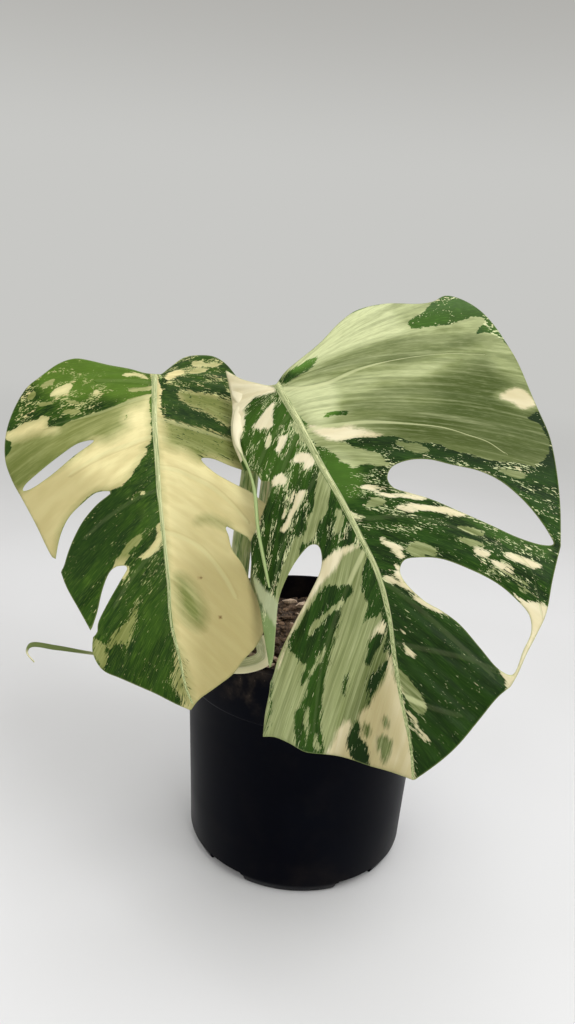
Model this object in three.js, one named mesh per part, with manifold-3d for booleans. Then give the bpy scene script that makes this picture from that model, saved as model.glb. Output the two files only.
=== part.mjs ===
// A potted albo variegata monstera: a plastic nursery pot filled with potting mix, a short stem,
// two leaf stalks, two cut leaves and the long sheath that lies over the rim of the pot.
// Units are millimetres and +Z is up. The origin is the middle of the pot's underside, and the
// leaves hang out over the pot's front, which faces -Y.

import * as THREE from 'three';
import { mergeVertices } from 'three/addons/utils/BufferGeometryUtils.js';
import Module from 'manifold-3d';

const wasm = await Module();
wasm.setup();

// Driving dimensions of the pot.
const POT_HEIGHT = 160.5;
const RIM_RADIUS = 82.5;
const WALL = 1.6;
const COLLAR_HEIGHT = 39;
const COLLAR_STEP = 1.3;
const LIP_HEIGHT = 3.5;
const LIP_STEP = 0.9;
const SIDE_FOOT_RADIUS = 74.6;
const BASE_RADIUS = 69.9;
const CHAMFER_HEIGHT = 6.8;
const FLOOR = 2.2;
const POT_SIDES = 56;
const DRAIN_COUNT = 5;
const DRAIN_WIDTH = 30;
const DRAIN_HEIGHT = 7.5;
const DRAIN_REACH = 17;
const DRAIN_FIRST_ANGLE = -128;

// Driving dimensions of the potting mix.
const SOIL_DEPTH = 18;
const SOIL_SIDES = 36;
const SOIL_RINGS = 7;
const SOIL_MOUND = 3;
const SOIL_LUMP = 1.5;
const CHIP_COUNT = 26;
const CHIP_SIZE = 6;
const SEED = 7;

// Clearance between neighbouring pieces.
const GAP = 0.3;

// Driving dimensions of the stem and the stalks.
const STEM_RADIUS = 9;
const STEM_BASE = 96;
const STEM_TOP = 156;
const STEM_PLACE = [-43, 6];
const STALK_RADIUS = 3.9;
const STALK_FOOT_RADIUS = 5.4;
const STALK_NECK_RADIUS = 4.4;
const STALK_SIDES = 10;

// Driving dimensions of the leaves.
const BLADE = 0.9;
const MESH_STEP = 9;
const OUTLINE_STEP = 5.5;
const CUT_DEPTH = 120;

const LEFT_LEAF = {
  stalk: [-104.4, -18, 317.1],
  tip: [-62.5, -128, 163],
  facing: [-19.5, -501, 377],
  arch: 9,
  bow: 0,
  ridge: 14,
  slope: { left: -0.1, right: -0.45 },
  droop: { left: 9, right: 3 },
  lean: 2.5,
  veins: { left: { fan: 0.009, sweep: 0.0028 }, right: { fan: 0.008, sweep: 0.0028 } },
  pleat: { height: 0.7, spacing: 27 },
  margin: [
    [[0, -3], [-6, -4], [-14, -8], [-26, -13], [-38, -19], [-47, -22], [-57, -20], [-68, -13], [-77, -6],
      [-84, 7], [-89, 24], [-90, 41], [-86, 56], [-80, 70], [-73, 87], [-67, 103], [-62, 113]],
    [[-62, 113], [-59, 124], [-53, 138], [-47, 152]],
    [[-47, 152], [-48, 161], [-44, 170], [-35, 176], [-20, 185], [-8, 193], [-1, 197]],
    [[-1, 197], [4, 192], [13, 187], [23, 181], [30, 174], [38, 167], [44, 158], [44, 147], [41, 135],
      [37, 121], [32, 112], [31, 104]],
    [[31, 104], [44, 107]],
    [[44, 107], [53, 101], [58, 92], [57, 83]],
    [[57, 83], [54, 72], [51, 64]],
    [[51, 64], [57, 50], [60, 34], [59, 17], [55, 1], [48, -15], [40, -22], [30, -22], [19, -18], [9, -8],
      [4, -3], [0, -3]],
  ],
  slots: [
    [[-38, 40], [-47, 40], [-58, 46], [-70, 54], [-79, 61], [-80, 64], [-76, 64], [-64, 58], [-50, 48]],
    [[-31, 74], [-39, 73], [-47, 78], [-55, 85], [-60, 94], [-63, 104], [-65, 116], [-61, 114], [-57, 105],
      [-53, 97], [-47, 88], [-39, 80]],
    [[-26, 118], [-31, 117], [-35, 119], [-40, 128], [-44, 140], [-49, 153], [-45, 151], [-44, 146],
      [-38, 136], [-31, 126]],
    [[21, 56], [27, 55], [38, 59], [48, 62], [60, 66], [62, 78], [57, 83], [48, 76], [38, 71], [27, 64]],
    [[17, 95], [21, 94], [27, 96], [34, 100], [43, 106], [40, 110], [33, 109], [31, 104], [29, 100],
      [24, 97.5]],
  ],
};

const RIGHT_LEAF = {
  stalk: [-29.9, -32, 317.8],
  tip: [47.9, -172, 157.2],
  facing: [-19.5, -501, 377],
  arch: 11,
  bow: 17,
  ridge: 14,
  slope: { left: -0.5, right: -0.06 },
  droop: { left: 2, right: 4.5 },
  lean: 2.5,
  veins: { left: { fan: 0.012, sweep: 0.0025 }, right: { fan: 0.0075, sweep: 0.0025 } },
  pleat: { height: 0.8, spacing: 30 },
  margin: [
    [[0, -3], [7, -9], [16, -14], [33, -23], [50, -35], [63, -41], [80, -40], [97, -33], [107, -32],
      [117, -36], [125, -29], [131, -15], [134, 4], [134, 25], [132, 47], [130, 70], [128, 87], [123, 107],
      [116, 126], [108, 145]],
    [[108, 145], [97, 160], [88, 174], [80, 182], [71, 190], [64, 197], [58, 202]],
    [[58, 202], [50, 205], [38, 212], [26, 219], [14, 224], [0, 228]],
    [[0, 228], [-9, 221], [-18, 215], [-26, 209], [-34, 204], [-47, 198], [-54, 191], [-61, 185], [-68, 182]],
    [[-68, 182], [-63, 171], [-57, 161], [-54, 153]],
    [[-54, 153], [-52, 138], [-49, 118], [-48, 99], [-45, 86]],
    [[-45, 86], [-39, 65], [-34, 44]],
    [[-34, 44], [-35, 30], [-36, 17], [-34, 6], [-30, -4], [-28, -19], [-27, -33]],
    [[-27, -33], [-19, -20], [-11, -11], [-5, -5], [0, -3]],
  ],
  slots: [
    [[39, 82], [43, 77], [53, 76], [63, 79], [73, 86], [85, 94], [93, 103], [99, 115], [103, 127], [105, 137],
      [105, 143], [100, 142], [90, 135], [79, 124], [67, 112], [56, 101], [47, 94], [40, 88]],
    [[28, 138], [28, 132], [32, 128], [39, 129], [49, 133], [61, 143], [71, 154], [77, 165], [78, 174],
      [74, 183], [67, 190], [59, 198], [56, 193], [51, 180], [46, 167], [40, 158], [34, 151]],
    [[-7, 102], [-11, 99], [-21, 103], [-31, 111], [-37, 118], [-45, 135], [-50, 146], [-56, 154],
      [-57, 158], [-53, 155], [-47, 147], [-35, 136], [-19, 123], [-9, 113]],
    [[-21, 54], [-26, 50], [-28, 43], [-36, 38], [-52, 60], [-50, 84], [-44, 80], [-38, 74], [-28, 64]],
  ],
};

// The first left lobe of the right leaf has curled into a ribbon that hangs in front of the blade.
const CURL_PATH = [
  [-55, -20, 307], [-52, -33, 292], [-49, -43, 280], [-45, -53, 269], [-41, -64, 258], [-36, -76, 245],
  [-31, -88, 232], [-27, -98, 217],
];
const CURL_WIDTHS = [6, 8, 7, 6, 5, 4.5, 4.5, 3];
const CURL_ACROSS = [1, -0.2, 0.3];

// Routes of the two stalks, from the stem to the blades.
const LEFT_STALK = [
  [-49, 3, 148], [-50, 3, 175], [-50, 5, 205], [-49, 11, 237], [-48, 16, 268], [-56, 17, 292],
  [-71, 12, 306], [-89, 1, 313], [-104.4, -18, 317.1],
];
const RIGHT_STALK = [
  [-36, 9, 148], [-35, 8, 180], [-35, 4, 212], [-34, 3, 246], [-33, -1, 275], [-32, -10, 298],
  [-31, -22, 313], [-29.9, -32, 317.8],
];

// Route and widths of the sheath: out of the mix, over the front of the rim and off to the left.
const SHEATH_PATH = [
  [-34, -3, 136], [-31, -14, 150], [-28, -30, 159], [-27, -50, 166], [-30, -70, 167.5],
  [-44, -85, 166.5], [-66, -88, 166], [-96, -87, 166], [-126, -85, 166.5], [-147, -84, 168],
  [-160, -87, 170], [-162, -88, 166], [-158, -88, 160],
];
const SHEATH_WIDTHS = [8, 9.5, 11, 12, 11, 8.5, 7, 5, 3.4, 2.8, 2.4, 2, 1.2];
const SHEATH_THICKNESS = 1.6;

// A closed geometry as a manifold solid, with its faces pointing out.
function toSolid(geometry) {
  const bare = geometry.index ? geometry.toNonIndexed() : geometry.clone();
  bare.deleteAttribute('normal');
  bare.deleteAttribute('uv');
  const merged = mergeVertices(bare, 1e-3);
  const triVerts = new Uint32Array(merged.index.array);
  const vertProperties = new Float32Array(merged.attributes.position.array);
  const solid = new wasm.Manifold(new wasm.Mesh({ numProp: 3, vertProperties, triVerts }));
  if (solid.volume() > 0) return solid;
  for (let i = 0; i < triVerts.length; i += 3) {
    [triVerts[i + 1], triVerts[i + 2]] = [triVerts[i + 2], triVerts[i + 1]];
  }
  return new wasm.Manifold(new wasm.Mesh({ numProp: 3, vertProperties, triVerts }));
}

// A manifold solid back as a geometry.
function toGeometry(solid) {
  const mesh = solid.getMesh();
  const geometry = new THREE.BufferGeometry();
  geometry.setAttribute('position', new THREE.BufferAttribute(new Float32Array(mesh.vertProperties), 3));
  geometry.setIndex(new THREE.BufferAttribute(new Uint32Array(mesh.triVerts), 1));
  geometry.computeVertexNormals();
  return geometry;
}

// The largest of the separate bodies of a solid.
function largest(solid) {
  return solid.decompose().sort((a, b) => b.volume() - a.volume())[0];
}

// A seeded stream of numbers from 0 to 1.
function randomStream(seed) {
  let state = seed;
  return () => {
    state = (state * 1664525 + 1013904223) % 4294967296;
    return state / 4294967296;
  };
}

// A solid turned about the Z axis from a profile of [radius, height] pairs.
function turned(profile, sides) {
  const points = profile.map(([radius, height]) => new THREE.Vector2(radius, height));
  return new THREE.LatheGeometry(points, sides).rotateX(Math.PI / 2);
}

// A closed band along a route: an ellipse at each place, width across and thickness the other way.
function band(route, widths, thickness, across, steps, sides) {
  const curve = new THREE.CatmullRomCurve3(route.map((p) => new THREE.Vector3(...p)), false, 'centripetal');
  const vertices = [];
  const faces = [];
  for (let i = 0; i <= steps; i++) {
    const u = i / steps;
    const place = curve.getPoint(u);
    const along = curve.getTangent(u);
    const up = new THREE.Vector3().crossVectors(along, new THREE.Vector3(...across)).normalize();
    const side = new THREE.Vector3().crossVectors(up, along).normalize();
    const at = u * (widths.length - 1);
    const k = Math.min(Math.floor(at), widths.length - 2);
    const width = THREE.MathUtils.lerp(widths[k], widths[k + 1], at - k);
    const depth = Math.min(thickness, width);
    for (let j = 0; j < sides; j++) {
      const turn = (j / sides) * 2 * Math.PI;
      const point = place.clone()
        .addScaledVector(side, (width / 2) * Math.cos(turn))
        .addScaledVector(up, (depth / 2) * Math.sin(turn));
      vertices.push(...point.toArray());
    }
  }
  for (let i = 0; i < steps; i++) {
    for (let j = 0; j < sides; j++) {
      const a = i * sides + j;
      const b = i * sides + ((j + 1) % sides);
      faces.push(a, b, a + sides, b, b + sides, a + sides);
    }
  }
  const last = steps * sides;
  for (let j = 1; j < sides - 1; j++) {
    faces.push(0, j + 1, j, last, last + j, last + j + 1);
  }
  const geometry = new THREE.BufferGeometry();
  geometry.setAttribute('position', new THREE.Float32BufferAttribute(vertices, 3));
  geometry.setIndex(faces);
  return geometry;
}

// A leaf blade as a surface over its own flat frame: s runs across the leaf, t from the stalk to
// the tip, and the height stands over the plane of s and t, towards what the leaf faces.
class Blade {
  constructor(leaf) {
    this.leaf = leaf;
    this.origin = new THREE.Vector3(...leaf.stalk);
    const tip = new THREE.Vector3(...leaf.tip);
    this.along = tip.clone().sub(this.origin).normalize();
    this.length = tip.distanceTo(this.origin);
    const middle = tip.clone().add(this.origin).multiplyScalar(0.5);
    const facing = new THREE.Vector3(...leaf.facing).sub(middle);
    this.normal = facing.addScaledVector(this.along, -facing.dot(this.along)).normalize();
    this.across = new THREE.Vector3().crossVectors(this.normal, this.along);
  }

  // How far the midrib has bowed sideways at t.
  midrib(t) {
    const u = t / this.length;
    return 4 * this.leaf.bow * (u < 0 ? u : u * (1 - u));
  }

  // The height of the surface: arched along, folded at the midrib, drooping and pleated.
  height(s, t) {
    const { arch, ridge, slope, droop, lean, veins, pleat } = this.leaf;
    const u = t / this.length;
    const x = s - this.midrib(t);
    const side = x < 0 ? 'left' : 'right';
    const away = Math.abs(x);
    const arched = 4 * arch * (u < 0 ? u : u * (1 - u));
    const crease = Math.hypot(x, ridge) - ridge;
    const folded = ((slope.right + slope.left) / 2) * crease + ((slope.right - slope.left) / 2) * x;
    const drooped = droop[side] * (away / 100) ** 3;
    const leant = t < 0 ? lean * (t / 60) ** 2 : 0;
    const vein = (t - veins[side].sweep * away ** 2) / (1 + veins[side].fan * away);
    const wave = Math.cos((2 * Math.PI * vein) / pleat.spacing) * Math.min(away / 40, 1);
    return arched + folded - drooped - leant + pleat.height * wave;
  }

  // The curved sheet as a closed slab, with the same triangles on both faces.
  slab(thickness) {
    const { margin } = this.leaf;
    const all = margin.flat();
    const bounds = [0, 1].map((axis) => all.map((p) => p[axis]));
    const [s0, s1, t0, t1] = bounds.flatMap((v) => [Math.min(...v) - MESH_STEP, Math.max(...v) + MESH_STEP]);
    const columns = Math.ceil((s1 - s0) / MESH_STEP);
    const rows = Math.ceil((t1 - t0) / MESH_STEP);
    const vertices = [];
    for (const offset of [thickness / 2, -thickness / 2]) {
      for (let i = 0; i <= columns; i++) {
        for (let j = 0; j <= rows; j++) {
          const s = s0 + ((s1 - s0) * i) / columns;
          const t = t0 + ((t1 - t0) * j) / rows;
          vertices.push(s, t, this.height(s, t) + offset);
        }
      }
    }
    const layer = (columns + 1) * (rows + 1);
    const at = (i, j) => i * (rows + 1) + j;
    const faces = [];
    const quad = (a, b, c, d) => faces.push(a, b, c, a, c, d);
    for (let i = 0; i < columns; i++) {
      for (let j = 0; j < rows; j++) {
        const [a, b, c, d] = [at(i, j), at(i + 1, j), at(i + 1, j + 1), at(i, j + 1)];
        faces.push(a, b, c, a, c, d);
        faces.push(layer + a, layer + c, layer + b, layer + a, layer + d, layer + c);
      }
    }
    for (let i = 0; i < columns; i++) {
      quad(at(i, 0), layer + at(i, 0), layer + at(i + 1, 0), at(i + 1, 0));
      quad(at(i + 1, rows), layer + at(i + 1, rows), layer + at(i, rows), at(i, rows));
    }
    for (let j = 0; j < rows; j++) {
      quad(at(0, j + 1), layer + at(0, j + 1), layer + at(0, j), at(0, j));
      quad(at(columns, j), layer + at(columns, j), layer + at(columns, j + 1), at(columns, j + 1));
    }
    const geometry = new THREE.BufferGeometry();
    geometry.setAttribute('position', new THREE.Float32BufferAttribute(vertices, 3));
    geometry.setIndex(faces);
    return toSolid(geometry);
  }

  // A solid of the leaf's flat frame moved to where the leaf hangs.
  placed(solid) {
    const matrix = new THREE.Matrix4().makeBasis(this.across, this.along, this.normal);
    matrix.setPosition(this.origin);
    return solid.transform(matrix.elements);
  }

  // The cut leaf: the slab inside the margin, less the slots between its lobes.
  solid() {
    const outline = this.leaf.margin.flatMap((run) => openCurve(run).slice(0, -1));
    const cutter = prism(outline);
    const slots = this.leaf.slots.map((ring) => prism(closedCurve(ring)));
    const cut = slots.reduce((rest, slot) => rest.subtract(slot), this.slab(BLADE).intersect(cutter));
    return this.placed(largest(cut));
  }

  // The room that other pieces leave free around the sheet.
  clearance() {
    return this.placed(this.slab(BLADE + 2.4 * GAP));
  }
}

// Evenly spaced points along a smooth curve through the given points.
function openCurve(points) {
  const curve = new THREE.SplineCurve(points.map(([s, t]) => new THREE.Vector2(s, t)));
  return curve.getSpacedPoints(Math.max(1, Math.round(curve.getLength() / OUTLINE_STEP)));
}

// Evenly spaced points round a smooth ring through the given points.
function closedCurve(points) {
  const ring = points.map(([s, t]) => new THREE.Vector3(s, t, 0));
  const curve = new THREE.CatmullRomCurve3(ring, true, 'centripetal');
  const count = Math.round(curve.getLength() / OUTLINE_STEP);
  return curve.getSpacedPoints(count).slice(0, -1).map((p) => new THREE.Vector2(p.x, p.y));
}

// An outline of the leaf's frame as a tall solid that cuts the sheet.
function prism(outline) {
  const depth = 2 * CUT_DEPTH;
  const geometry = new THREE.ExtrudeGeometry(new THREE.Shape(outline), { depth, bevelEnabled: false });
  return toSolid(geometry.translate(0, 0, -CUT_DEPTH));
}

// The pot: a thin tapered wall with a deep collar and lip, and drain notches round its foot.
function makePot() {
  const collarFoot = POT_HEIGHT - COLLAR_HEIGHT;
  const taper = (RIM_RADIUS - COLLAR_STEP - SIDE_FOOT_RADIUS) / (POT_HEIGHT - CHAMFER_HEIGHT);
  const side = (z) => SIDE_FOOT_RADIUS + taper * (z - CHAMFER_HEIGHT);
  const profile = [
    [0, 0],
    [BASE_RADIUS, 0],
    [BASE_RADIUS + 1.6, 1],
    [SIDE_FOOT_RADIUS, CHAMFER_HEIGHT],
    [side(collarFoot), collarFoot],
    [side(collarFoot) + COLLAR_STEP, collarFoot + 1],
    [RIM_RADIUS - LIP_STEP, POT_HEIGHT - LIP_HEIGHT],
    [RIM_RADIUS, POT_HEIGHT - LIP_HEIGHT + 0.8],
    [RIM_RADIUS, POT_HEIGHT - 0.8],
    [RIM_RADIUS - 0.8, POT_HEIGHT],
    [RIM_RADIUS - COLLAR_STEP - WALL, POT_HEIGHT],
    [side(collarFoot) - WALL + COLLAR_STEP, collarFoot + 3],
    [side(collarFoot) - WALL, collarFoot],
    [SIDE_FOOT_RADIUS - WALL, CHAMFER_HEIGHT],
    [BASE_RADIUS, FLOOR],
    [0, FLOOR],
  ];
  let pot = toSolid(turned(profile, POT_SIDES));
  for (let i = 0; i < DRAIN_COUNT; i++) {
    const angle = THREE.MathUtils.degToRad(DRAIN_FIRST_ANGLE + (360 / DRAIN_COUNT) * i);
    const block = new THREE.BoxGeometry(2 * DRAIN_REACH, DRAIN_WIDTH, 2 * DRAIN_HEIGHT);
    block.translate(SIDE_FOOT_RADIUS, 0, 0).rotateZ(angle);
    pot = pot.subtract(toSolid(block));
  }
  return toGeometry(pot);
}

// The height of the mix at a place: a low mound with lumps.
function soilHeight(x, y) {
  const mound = SOIL_MOUND * (1 - (x * x + y * y) / RIM_RADIUS ** 2);
  const lumps = Math.sin(0.19 * x + 1.3) * Math.cos(0.23 * y) + 0.6 * Math.sin(0.41 * x - 0.37 * y);
  return POT_HEIGHT - SOIL_DEPTH + mound + SOIL_LUMP * lumps;
}

// Bark chips sunk half way into the mix, away from the stem and the wall.
function makeChips() {
  const random = randomStream(SEED);
  const chips = [];
  while (chips.length < CHIP_COUNT) {
    const radius = (RIM_RADIUS - 17) * Math.sqrt(random());
    const angle = 2 * Math.PI * random();
    const x = radius * Math.cos(angle);
    const y = radius * Math.sin(angle);
    const size = CHIP_SIZE * (0.7 + 0.8 * random());
    const turn = [random(), random(), random()].map((r) => (r - 0.5) * 1.2);
    const spin = Math.PI * random();
    if (Math.hypot(x - STEM_PLACE[0], y - STEM_PLACE[1]) < STEM_RADIUS + 2.2 * CHIP_SIZE) continue;
    const chip = new THREE.BoxGeometry(size * 1.7, size, size * 0.7);
    chip.rotateX(turn[0]).rotateY(turn[1]).rotateZ(spin).translate(x, y, soilHeight(x, y) + 0.1 * size);
    chips.push(toSolid(chip));
  }
  return wasm.Manifold.union(chips);
}

// The potting mix: it fills the pot to below the rim, with a plain hole for the stem.
function makeSoil(stemRoom, potRoom, sheathRoom) {
  const top = POT_HEIGHT - SOIL_DEPTH;
  const bottom = FLOOR + GAP;
  const profile = [[0, bottom], [BASE_RADIUS - 1, bottom], [RIM_RADIUS, CHAMFER_HEIGHT], [RIM_RADIUS, top]];
  for (let i = SOIL_RINGS; i >= 0; i--) profile.push([((RIM_RADIUS - 1) * i) / SOIL_RINGS, top]);
  const geometry = turned(profile, SOIL_SIDES);
  const position = geometry.attributes.position;
  for (let i = 0; i < position.count; i++) {
    if (position.getZ(i) < top - 1e-3) continue;
    position.setZ(i, soilHeight(position.getX(i), position.getY(i)));
  }
  const mix = toSolid(geometry).intersect(potRoom).add(makeChips());
  return toGeometry(largest(mix.subtract(stemRoom).subtract(sheathRoom)));
}

// The space inside the pot's wall, less the gap.
function insidePot() {
  const collarFoot = POT_HEIGHT - COLLAR_HEIGHT;
  const taper = (RIM_RADIUS - COLLAR_STEP - SIDE_FOOT_RADIUS) / (POT_HEIGHT - CHAMFER_HEIGHT);
  const inner = WALL + GAP;
  const waist = SIDE_FOOT_RADIUS + taper * (collarFoot - CHAMFER_HEIGHT) - inner;
  const profile = [
    [0, FLOOR + GAP],
    [BASE_RADIUS - GAP - 0.2, FLOOR + GAP],
    [SIDE_FOOT_RADIUS - inner, CHAMFER_HEIGHT + GAP],
    [waist, collarFoot],
    [RIM_RADIUS - COLLAR_STEP - inner - 0.4, POT_HEIGHT + 10],
    [0, POT_HEIGHT + 10],
  ];
  return toSolid(turned(profile, POT_SIDES));
}

// The short stem that stands in the mix, as wide as its radius plus a margin.
function stemSolid(extra) {
  const radius = STEM_RADIUS + extra;
  const top = STEM_TOP + extra;
  const profile = [
    [0, STEM_BASE - extra],
    [radius * 0.8, STEM_BASE - extra],
    [radius, STEM_BASE + 12],
    [radius, top - 7],
    [radius * 0.75, top - 2],
    [0, top],
  ];
  const geometry = turned(profile, 20);
  return toSolid(geometry.translate(STEM_PLACE[0], STEM_PLACE[1], 0));
}

// A stalk: thick where it leaves the stem, slim on its way and thicker again at its neck.
function stalkSolid(route) {
  const slim = 2 * STALK_RADIUS;
  const foot = 2 * STALK_FOOT_RADIUS;
  const widths = [foot, 0.9 * foot, slim, slim, slim, 2 * STALK_NECK_RADIUS];
  return toSolid(band(route, widths, 2 * STALK_NECK_RADIUS, [1, 0.2, 0], 26, STALK_SIDES));
}

// The sheath that lies over the rim, as wide as its own widths plus a margin on each side.
function sheathSolid(extra) {
  const widths = SHEATH_WIDTHS.map((width) => width + 2 * extra);
  return toSolid(band(SHEATH_PATH, widths, SHEATH_THICKNESS + 2 * extra, [1, 0, 0.01], 44, 6));
}

// The right leaf's first left lobe, curled into a ribbon.
function curlSolid() {
  return toSolid(band(CURL_PATH, CURL_WIDTHS, BLADE, CURL_ACROSS, 22, 6));
}

// A stalk cut clear of the stem and of the blade that it carries.
function stalkBetween(route, stemRoom, blade) {
  return largest(stalkSolid(route).subtract(stemRoom).subtract(blade.clearance()));
}

const group = new THREE.Group();

// Adds one named piece to the group, with its colour and roughness.
function addPiece(name, geometry, color, roughness) {
  const mesh = new THREE.Mesh(geometry, new THREE.MeshStandardMaterial({ color, roughness, metalness: 0 }));
  mesh.name = name;
  group.add(mesh);
}

const leftBlade = new Blade(LEFT_LEAF);
const rightBlade = new Blade(RIGHT_LEAF);
const stemRoom = stemSolid(GAP);

addPiece('pot', makePot(), '#15171c', 0.45);
addPiece('soil', makeSoil(stemRoom, insidePot(), sheathSolid(GAP)), '#4a382b', 0.95);
addPiece('stem', toGeometry(stemSolid(0)), '#8a9a5a', 0.6);
addPiece('petiole_left', toGeometry(stalkBetween(LEFT_STALK, stemRoom, leftBlade)), '#7f9a55', 0.5);
addPiece('petiole_right', toGeometry(stalkBetween(RIGHT_STALK, stemRoom, rightBlade)), '#a9b37a', 0.5);
addPiece('leaf_left', toGeometry(leftBlade.solid()), '#7d9a4d', 0.5);
addPiece('leaf_right', toGeometry(rightBlade.solid().add(curlSolid())), '#5d8a45', 0.5);
addPiece('cataphyll', toGeometry(sheathSolid(0).subtract(stemRoom)), '#c3caa0', 0.6);

export default group;
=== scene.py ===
"""Looks of the potted albo variegata monstera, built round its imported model.

Lengths in the classes are millimetres, as on the CAD model, and every mesh is made in metres in
the same frame: +Z is up, the leaves hang out over the front of the pot, which faces -Y.
"""

import logging
import math
from dataclasses import dataclass
from enum import Enum
from functools import partial

import bmesh
import bpy
import numpy as np
from mathutils import Matrix, Vector


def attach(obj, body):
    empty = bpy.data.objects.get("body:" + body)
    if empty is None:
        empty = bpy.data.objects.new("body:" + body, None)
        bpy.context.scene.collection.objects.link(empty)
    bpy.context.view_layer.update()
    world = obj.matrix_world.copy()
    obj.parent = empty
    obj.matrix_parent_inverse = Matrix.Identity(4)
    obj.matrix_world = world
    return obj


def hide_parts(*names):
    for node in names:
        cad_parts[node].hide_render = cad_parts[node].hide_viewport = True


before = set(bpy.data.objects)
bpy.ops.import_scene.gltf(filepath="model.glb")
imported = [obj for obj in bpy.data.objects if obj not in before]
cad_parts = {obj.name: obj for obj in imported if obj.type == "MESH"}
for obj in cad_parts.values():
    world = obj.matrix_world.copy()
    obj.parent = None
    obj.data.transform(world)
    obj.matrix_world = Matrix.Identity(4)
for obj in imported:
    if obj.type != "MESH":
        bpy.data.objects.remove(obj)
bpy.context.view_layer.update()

log = logging.getLogger("monstera")

MM = 0.001
BODY = "root"

# The reach of a patch's depth, the mark of a place far from any vein, and the camera's place.
REACH = 12.0
FAR = 9.0
EYE = (-19.5, -501, 377)

Pair = tuple[float, float]
Triple = tuple[float, float, float]
Ring = tuple[Pair, ...]
Triples = tuple[Triple, ...]


class Tone(Enum):
    """What a patch of a leaf is made of."""

    GREEN = "green"
    SAGE = "sage"
    CREAM = "cream"


class Wash(Enum):
    """A soft quantity that is painted over a part of a leaf."""

    # SHADE is partly painted light and shade, lightening a patch towards its lit tone or darkening it
    # towards its shaded tone, and partly the leaf's own lighter and darker tones.
    SHADE = "shade"
    FLECK = "fleck"
    STREAK = "streak"
    UNDER = "under"


@dataclass(frozen=True)
class Patch:
    """A patch of one tone with a firm edge, given as a ring on the leaf."""

    tone: Tone
    ring: Ring


@dataclass(frozen=True)
class Tint:
    """A soft patch that moves one wash of the leaf towards a value."""

    wash: Wash
    value: float
    soft: float
    ring: Ring


@dataclass(frozen=True)
class Veins:
    """How the side veins of one half of a leaf run."""

    fan: float
    sweep: float
    rise: float = 0.0


Halves = tuple[Veins, Veins]


def by_half(veins: Halves, right: np.ndarray) -> np.ndarray:
    """The fan, the sweep and the rise of the veins at places of the left and the right half."""
    left_run, right_run = (np.array([[half.fan], [half.sweep], [half.rise]]) for half in veins)
    return np.where(right, right_run, left_run)


# Curves and distances


def smooth_line(points: list, closed: bool = False, even: bool = False, spans: int = 8) -> np.ndarray:
    """Points along a smooth curve through the given ones.

    Args:
        points: the places that the curve passes.
        closed: whether the curve returns to its start.
        even: whether each span counts as equally long.
        spans: how many steps lie between two of the places.

    Returns:
        The points of the curve, one per row.
    """
    places = np.asarray(points, float)
    count = len(places)
    power = 0.0 if even else 0.5
    u = (np.arange(spans) / spans)[:, None]
    rows = []
    for i in range(count if closed else count - 1):
        b, c = places[i], places[(i + 1) % count]
        if closed:
            a, d = places[i - 1], places[(i + 2) % count]
        else:
            a = places[i - 1] if i else (b if even else 2 * b - c)
            d = places[i + 2] if i + 2 < count else (c if even else 2 * c - b)
        d0, d1, d2 = (max(np.linalg.norm(q - p), 1e-6) ** power for p, q in ((a, b), (b, c), (c, d)))
        t1 = ((b - a) / d0 - (c - a) / (d0 + d1) + (c - b) / d1) * d1
        t2 = ((c - b) / d1 - (d - b) / (d1 + d2) + (d - c) / d2) * d1
        rows.append(b + t1 * u + (3 * (c - b) - 2 * t1 - t2) * u**2 + (2 * (b - c) + t1 + t2) * u**3)
    if not closed:
        rows.append(places[-1:])
    return np.vstack(rows)


def line_offset(points: np.ndarray, line: np.ndarray) -> np.ndarray:
    """The distance of each point from a broken line, negative on its left.

    Args:
        points: the points, one per row.
        line: the corners of the line, one per row.

    Returns:
        One signed distance for each point.
    """
    x, y = points.T
    nearest = np.full(len(points), np.inf)
    for (ax, ay), (bx, by) in zip(line[:-1], line[1:]):
        dx, dy = bx - ax, by - ay
        along = np.clip(((x - ax) * dx + (y - ay) * dy) / max(dx * dx + dy * dy, 1e-9), 0, 1)
        away = np.hypot(x - ax - along * dx, y - ay - along * dy)
        away = np.where((x - ax) * dy - (y - ay) * dx < 0, -away, away)
        nearest = np.where(np.abs(away) < np.abs(nearest), away, nearest)
    return nearest


def ring_depth(points: np.ndarray, ring: np.ndarray) -> np.ndarray:
    """How deep each point lies inside a ring, negative outside it.

    Args:
        points: the points, one per row.
        ring: the corners of the ring, one per row.

    Returns:
        One depth for each point.
    """
    x, y = points.T
    inside = np.zeros(len(points), bool)
    for (ax, ay), (bx, by) in zip(ring, np.roll(ring, -1, axis=0)):
        if ay == by:
            continue
        inside ^= ((ay > y) != (by > y)) & (x < (bx - ax) * (y - ay) / (by - ay) + ax)
    nearest = np.abs(line_offset(points, np.vstack([ring, ring[:1]])))
    return np.where(inside, nearest, -nearest)


def near_depth(points: np.ndarray, ring: np.ndarray) -> np.ndarray:
    """The depth inside a ring, worked out only near it and held within the painting reach.

    Args:
        points: the points, one per row.
        ring: the corners of the ring, one per row.

    Returns:
        One depth for each point, between minus and plus the reach.
    """
    depth = np.full(len(points), -REACH)
    low, high = ring.min(0) - REACH, ring.max(0) + REACH
    near = np.all((points > low) & (points < high), axis=1)
    depth[near] = np.clip(ring_depth(points[near], ring), -REACH, REACH)
    return depth


def ease(value: np.ndarray, low: float, high: float) -> np.ndarray:
    """A smooth step from 0 at low to 1 at high."""
    u = np.clip((value - low) / (high - low), 0, 1)
    return u * u * (3 - 2 * u)


# Meshes


def new_object(name: str, data: bpy.types.ID) -> bpy.types.Object:
    """A new object in the scene.

    Args:
        name: its name.
        data: its mesh, light or camera.

    Returns:
        The object.
    """
    piece = bpy.data.objects.new(name, data)
    bpy.context.scene.collection.objects.link(piece)
    return piece


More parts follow.
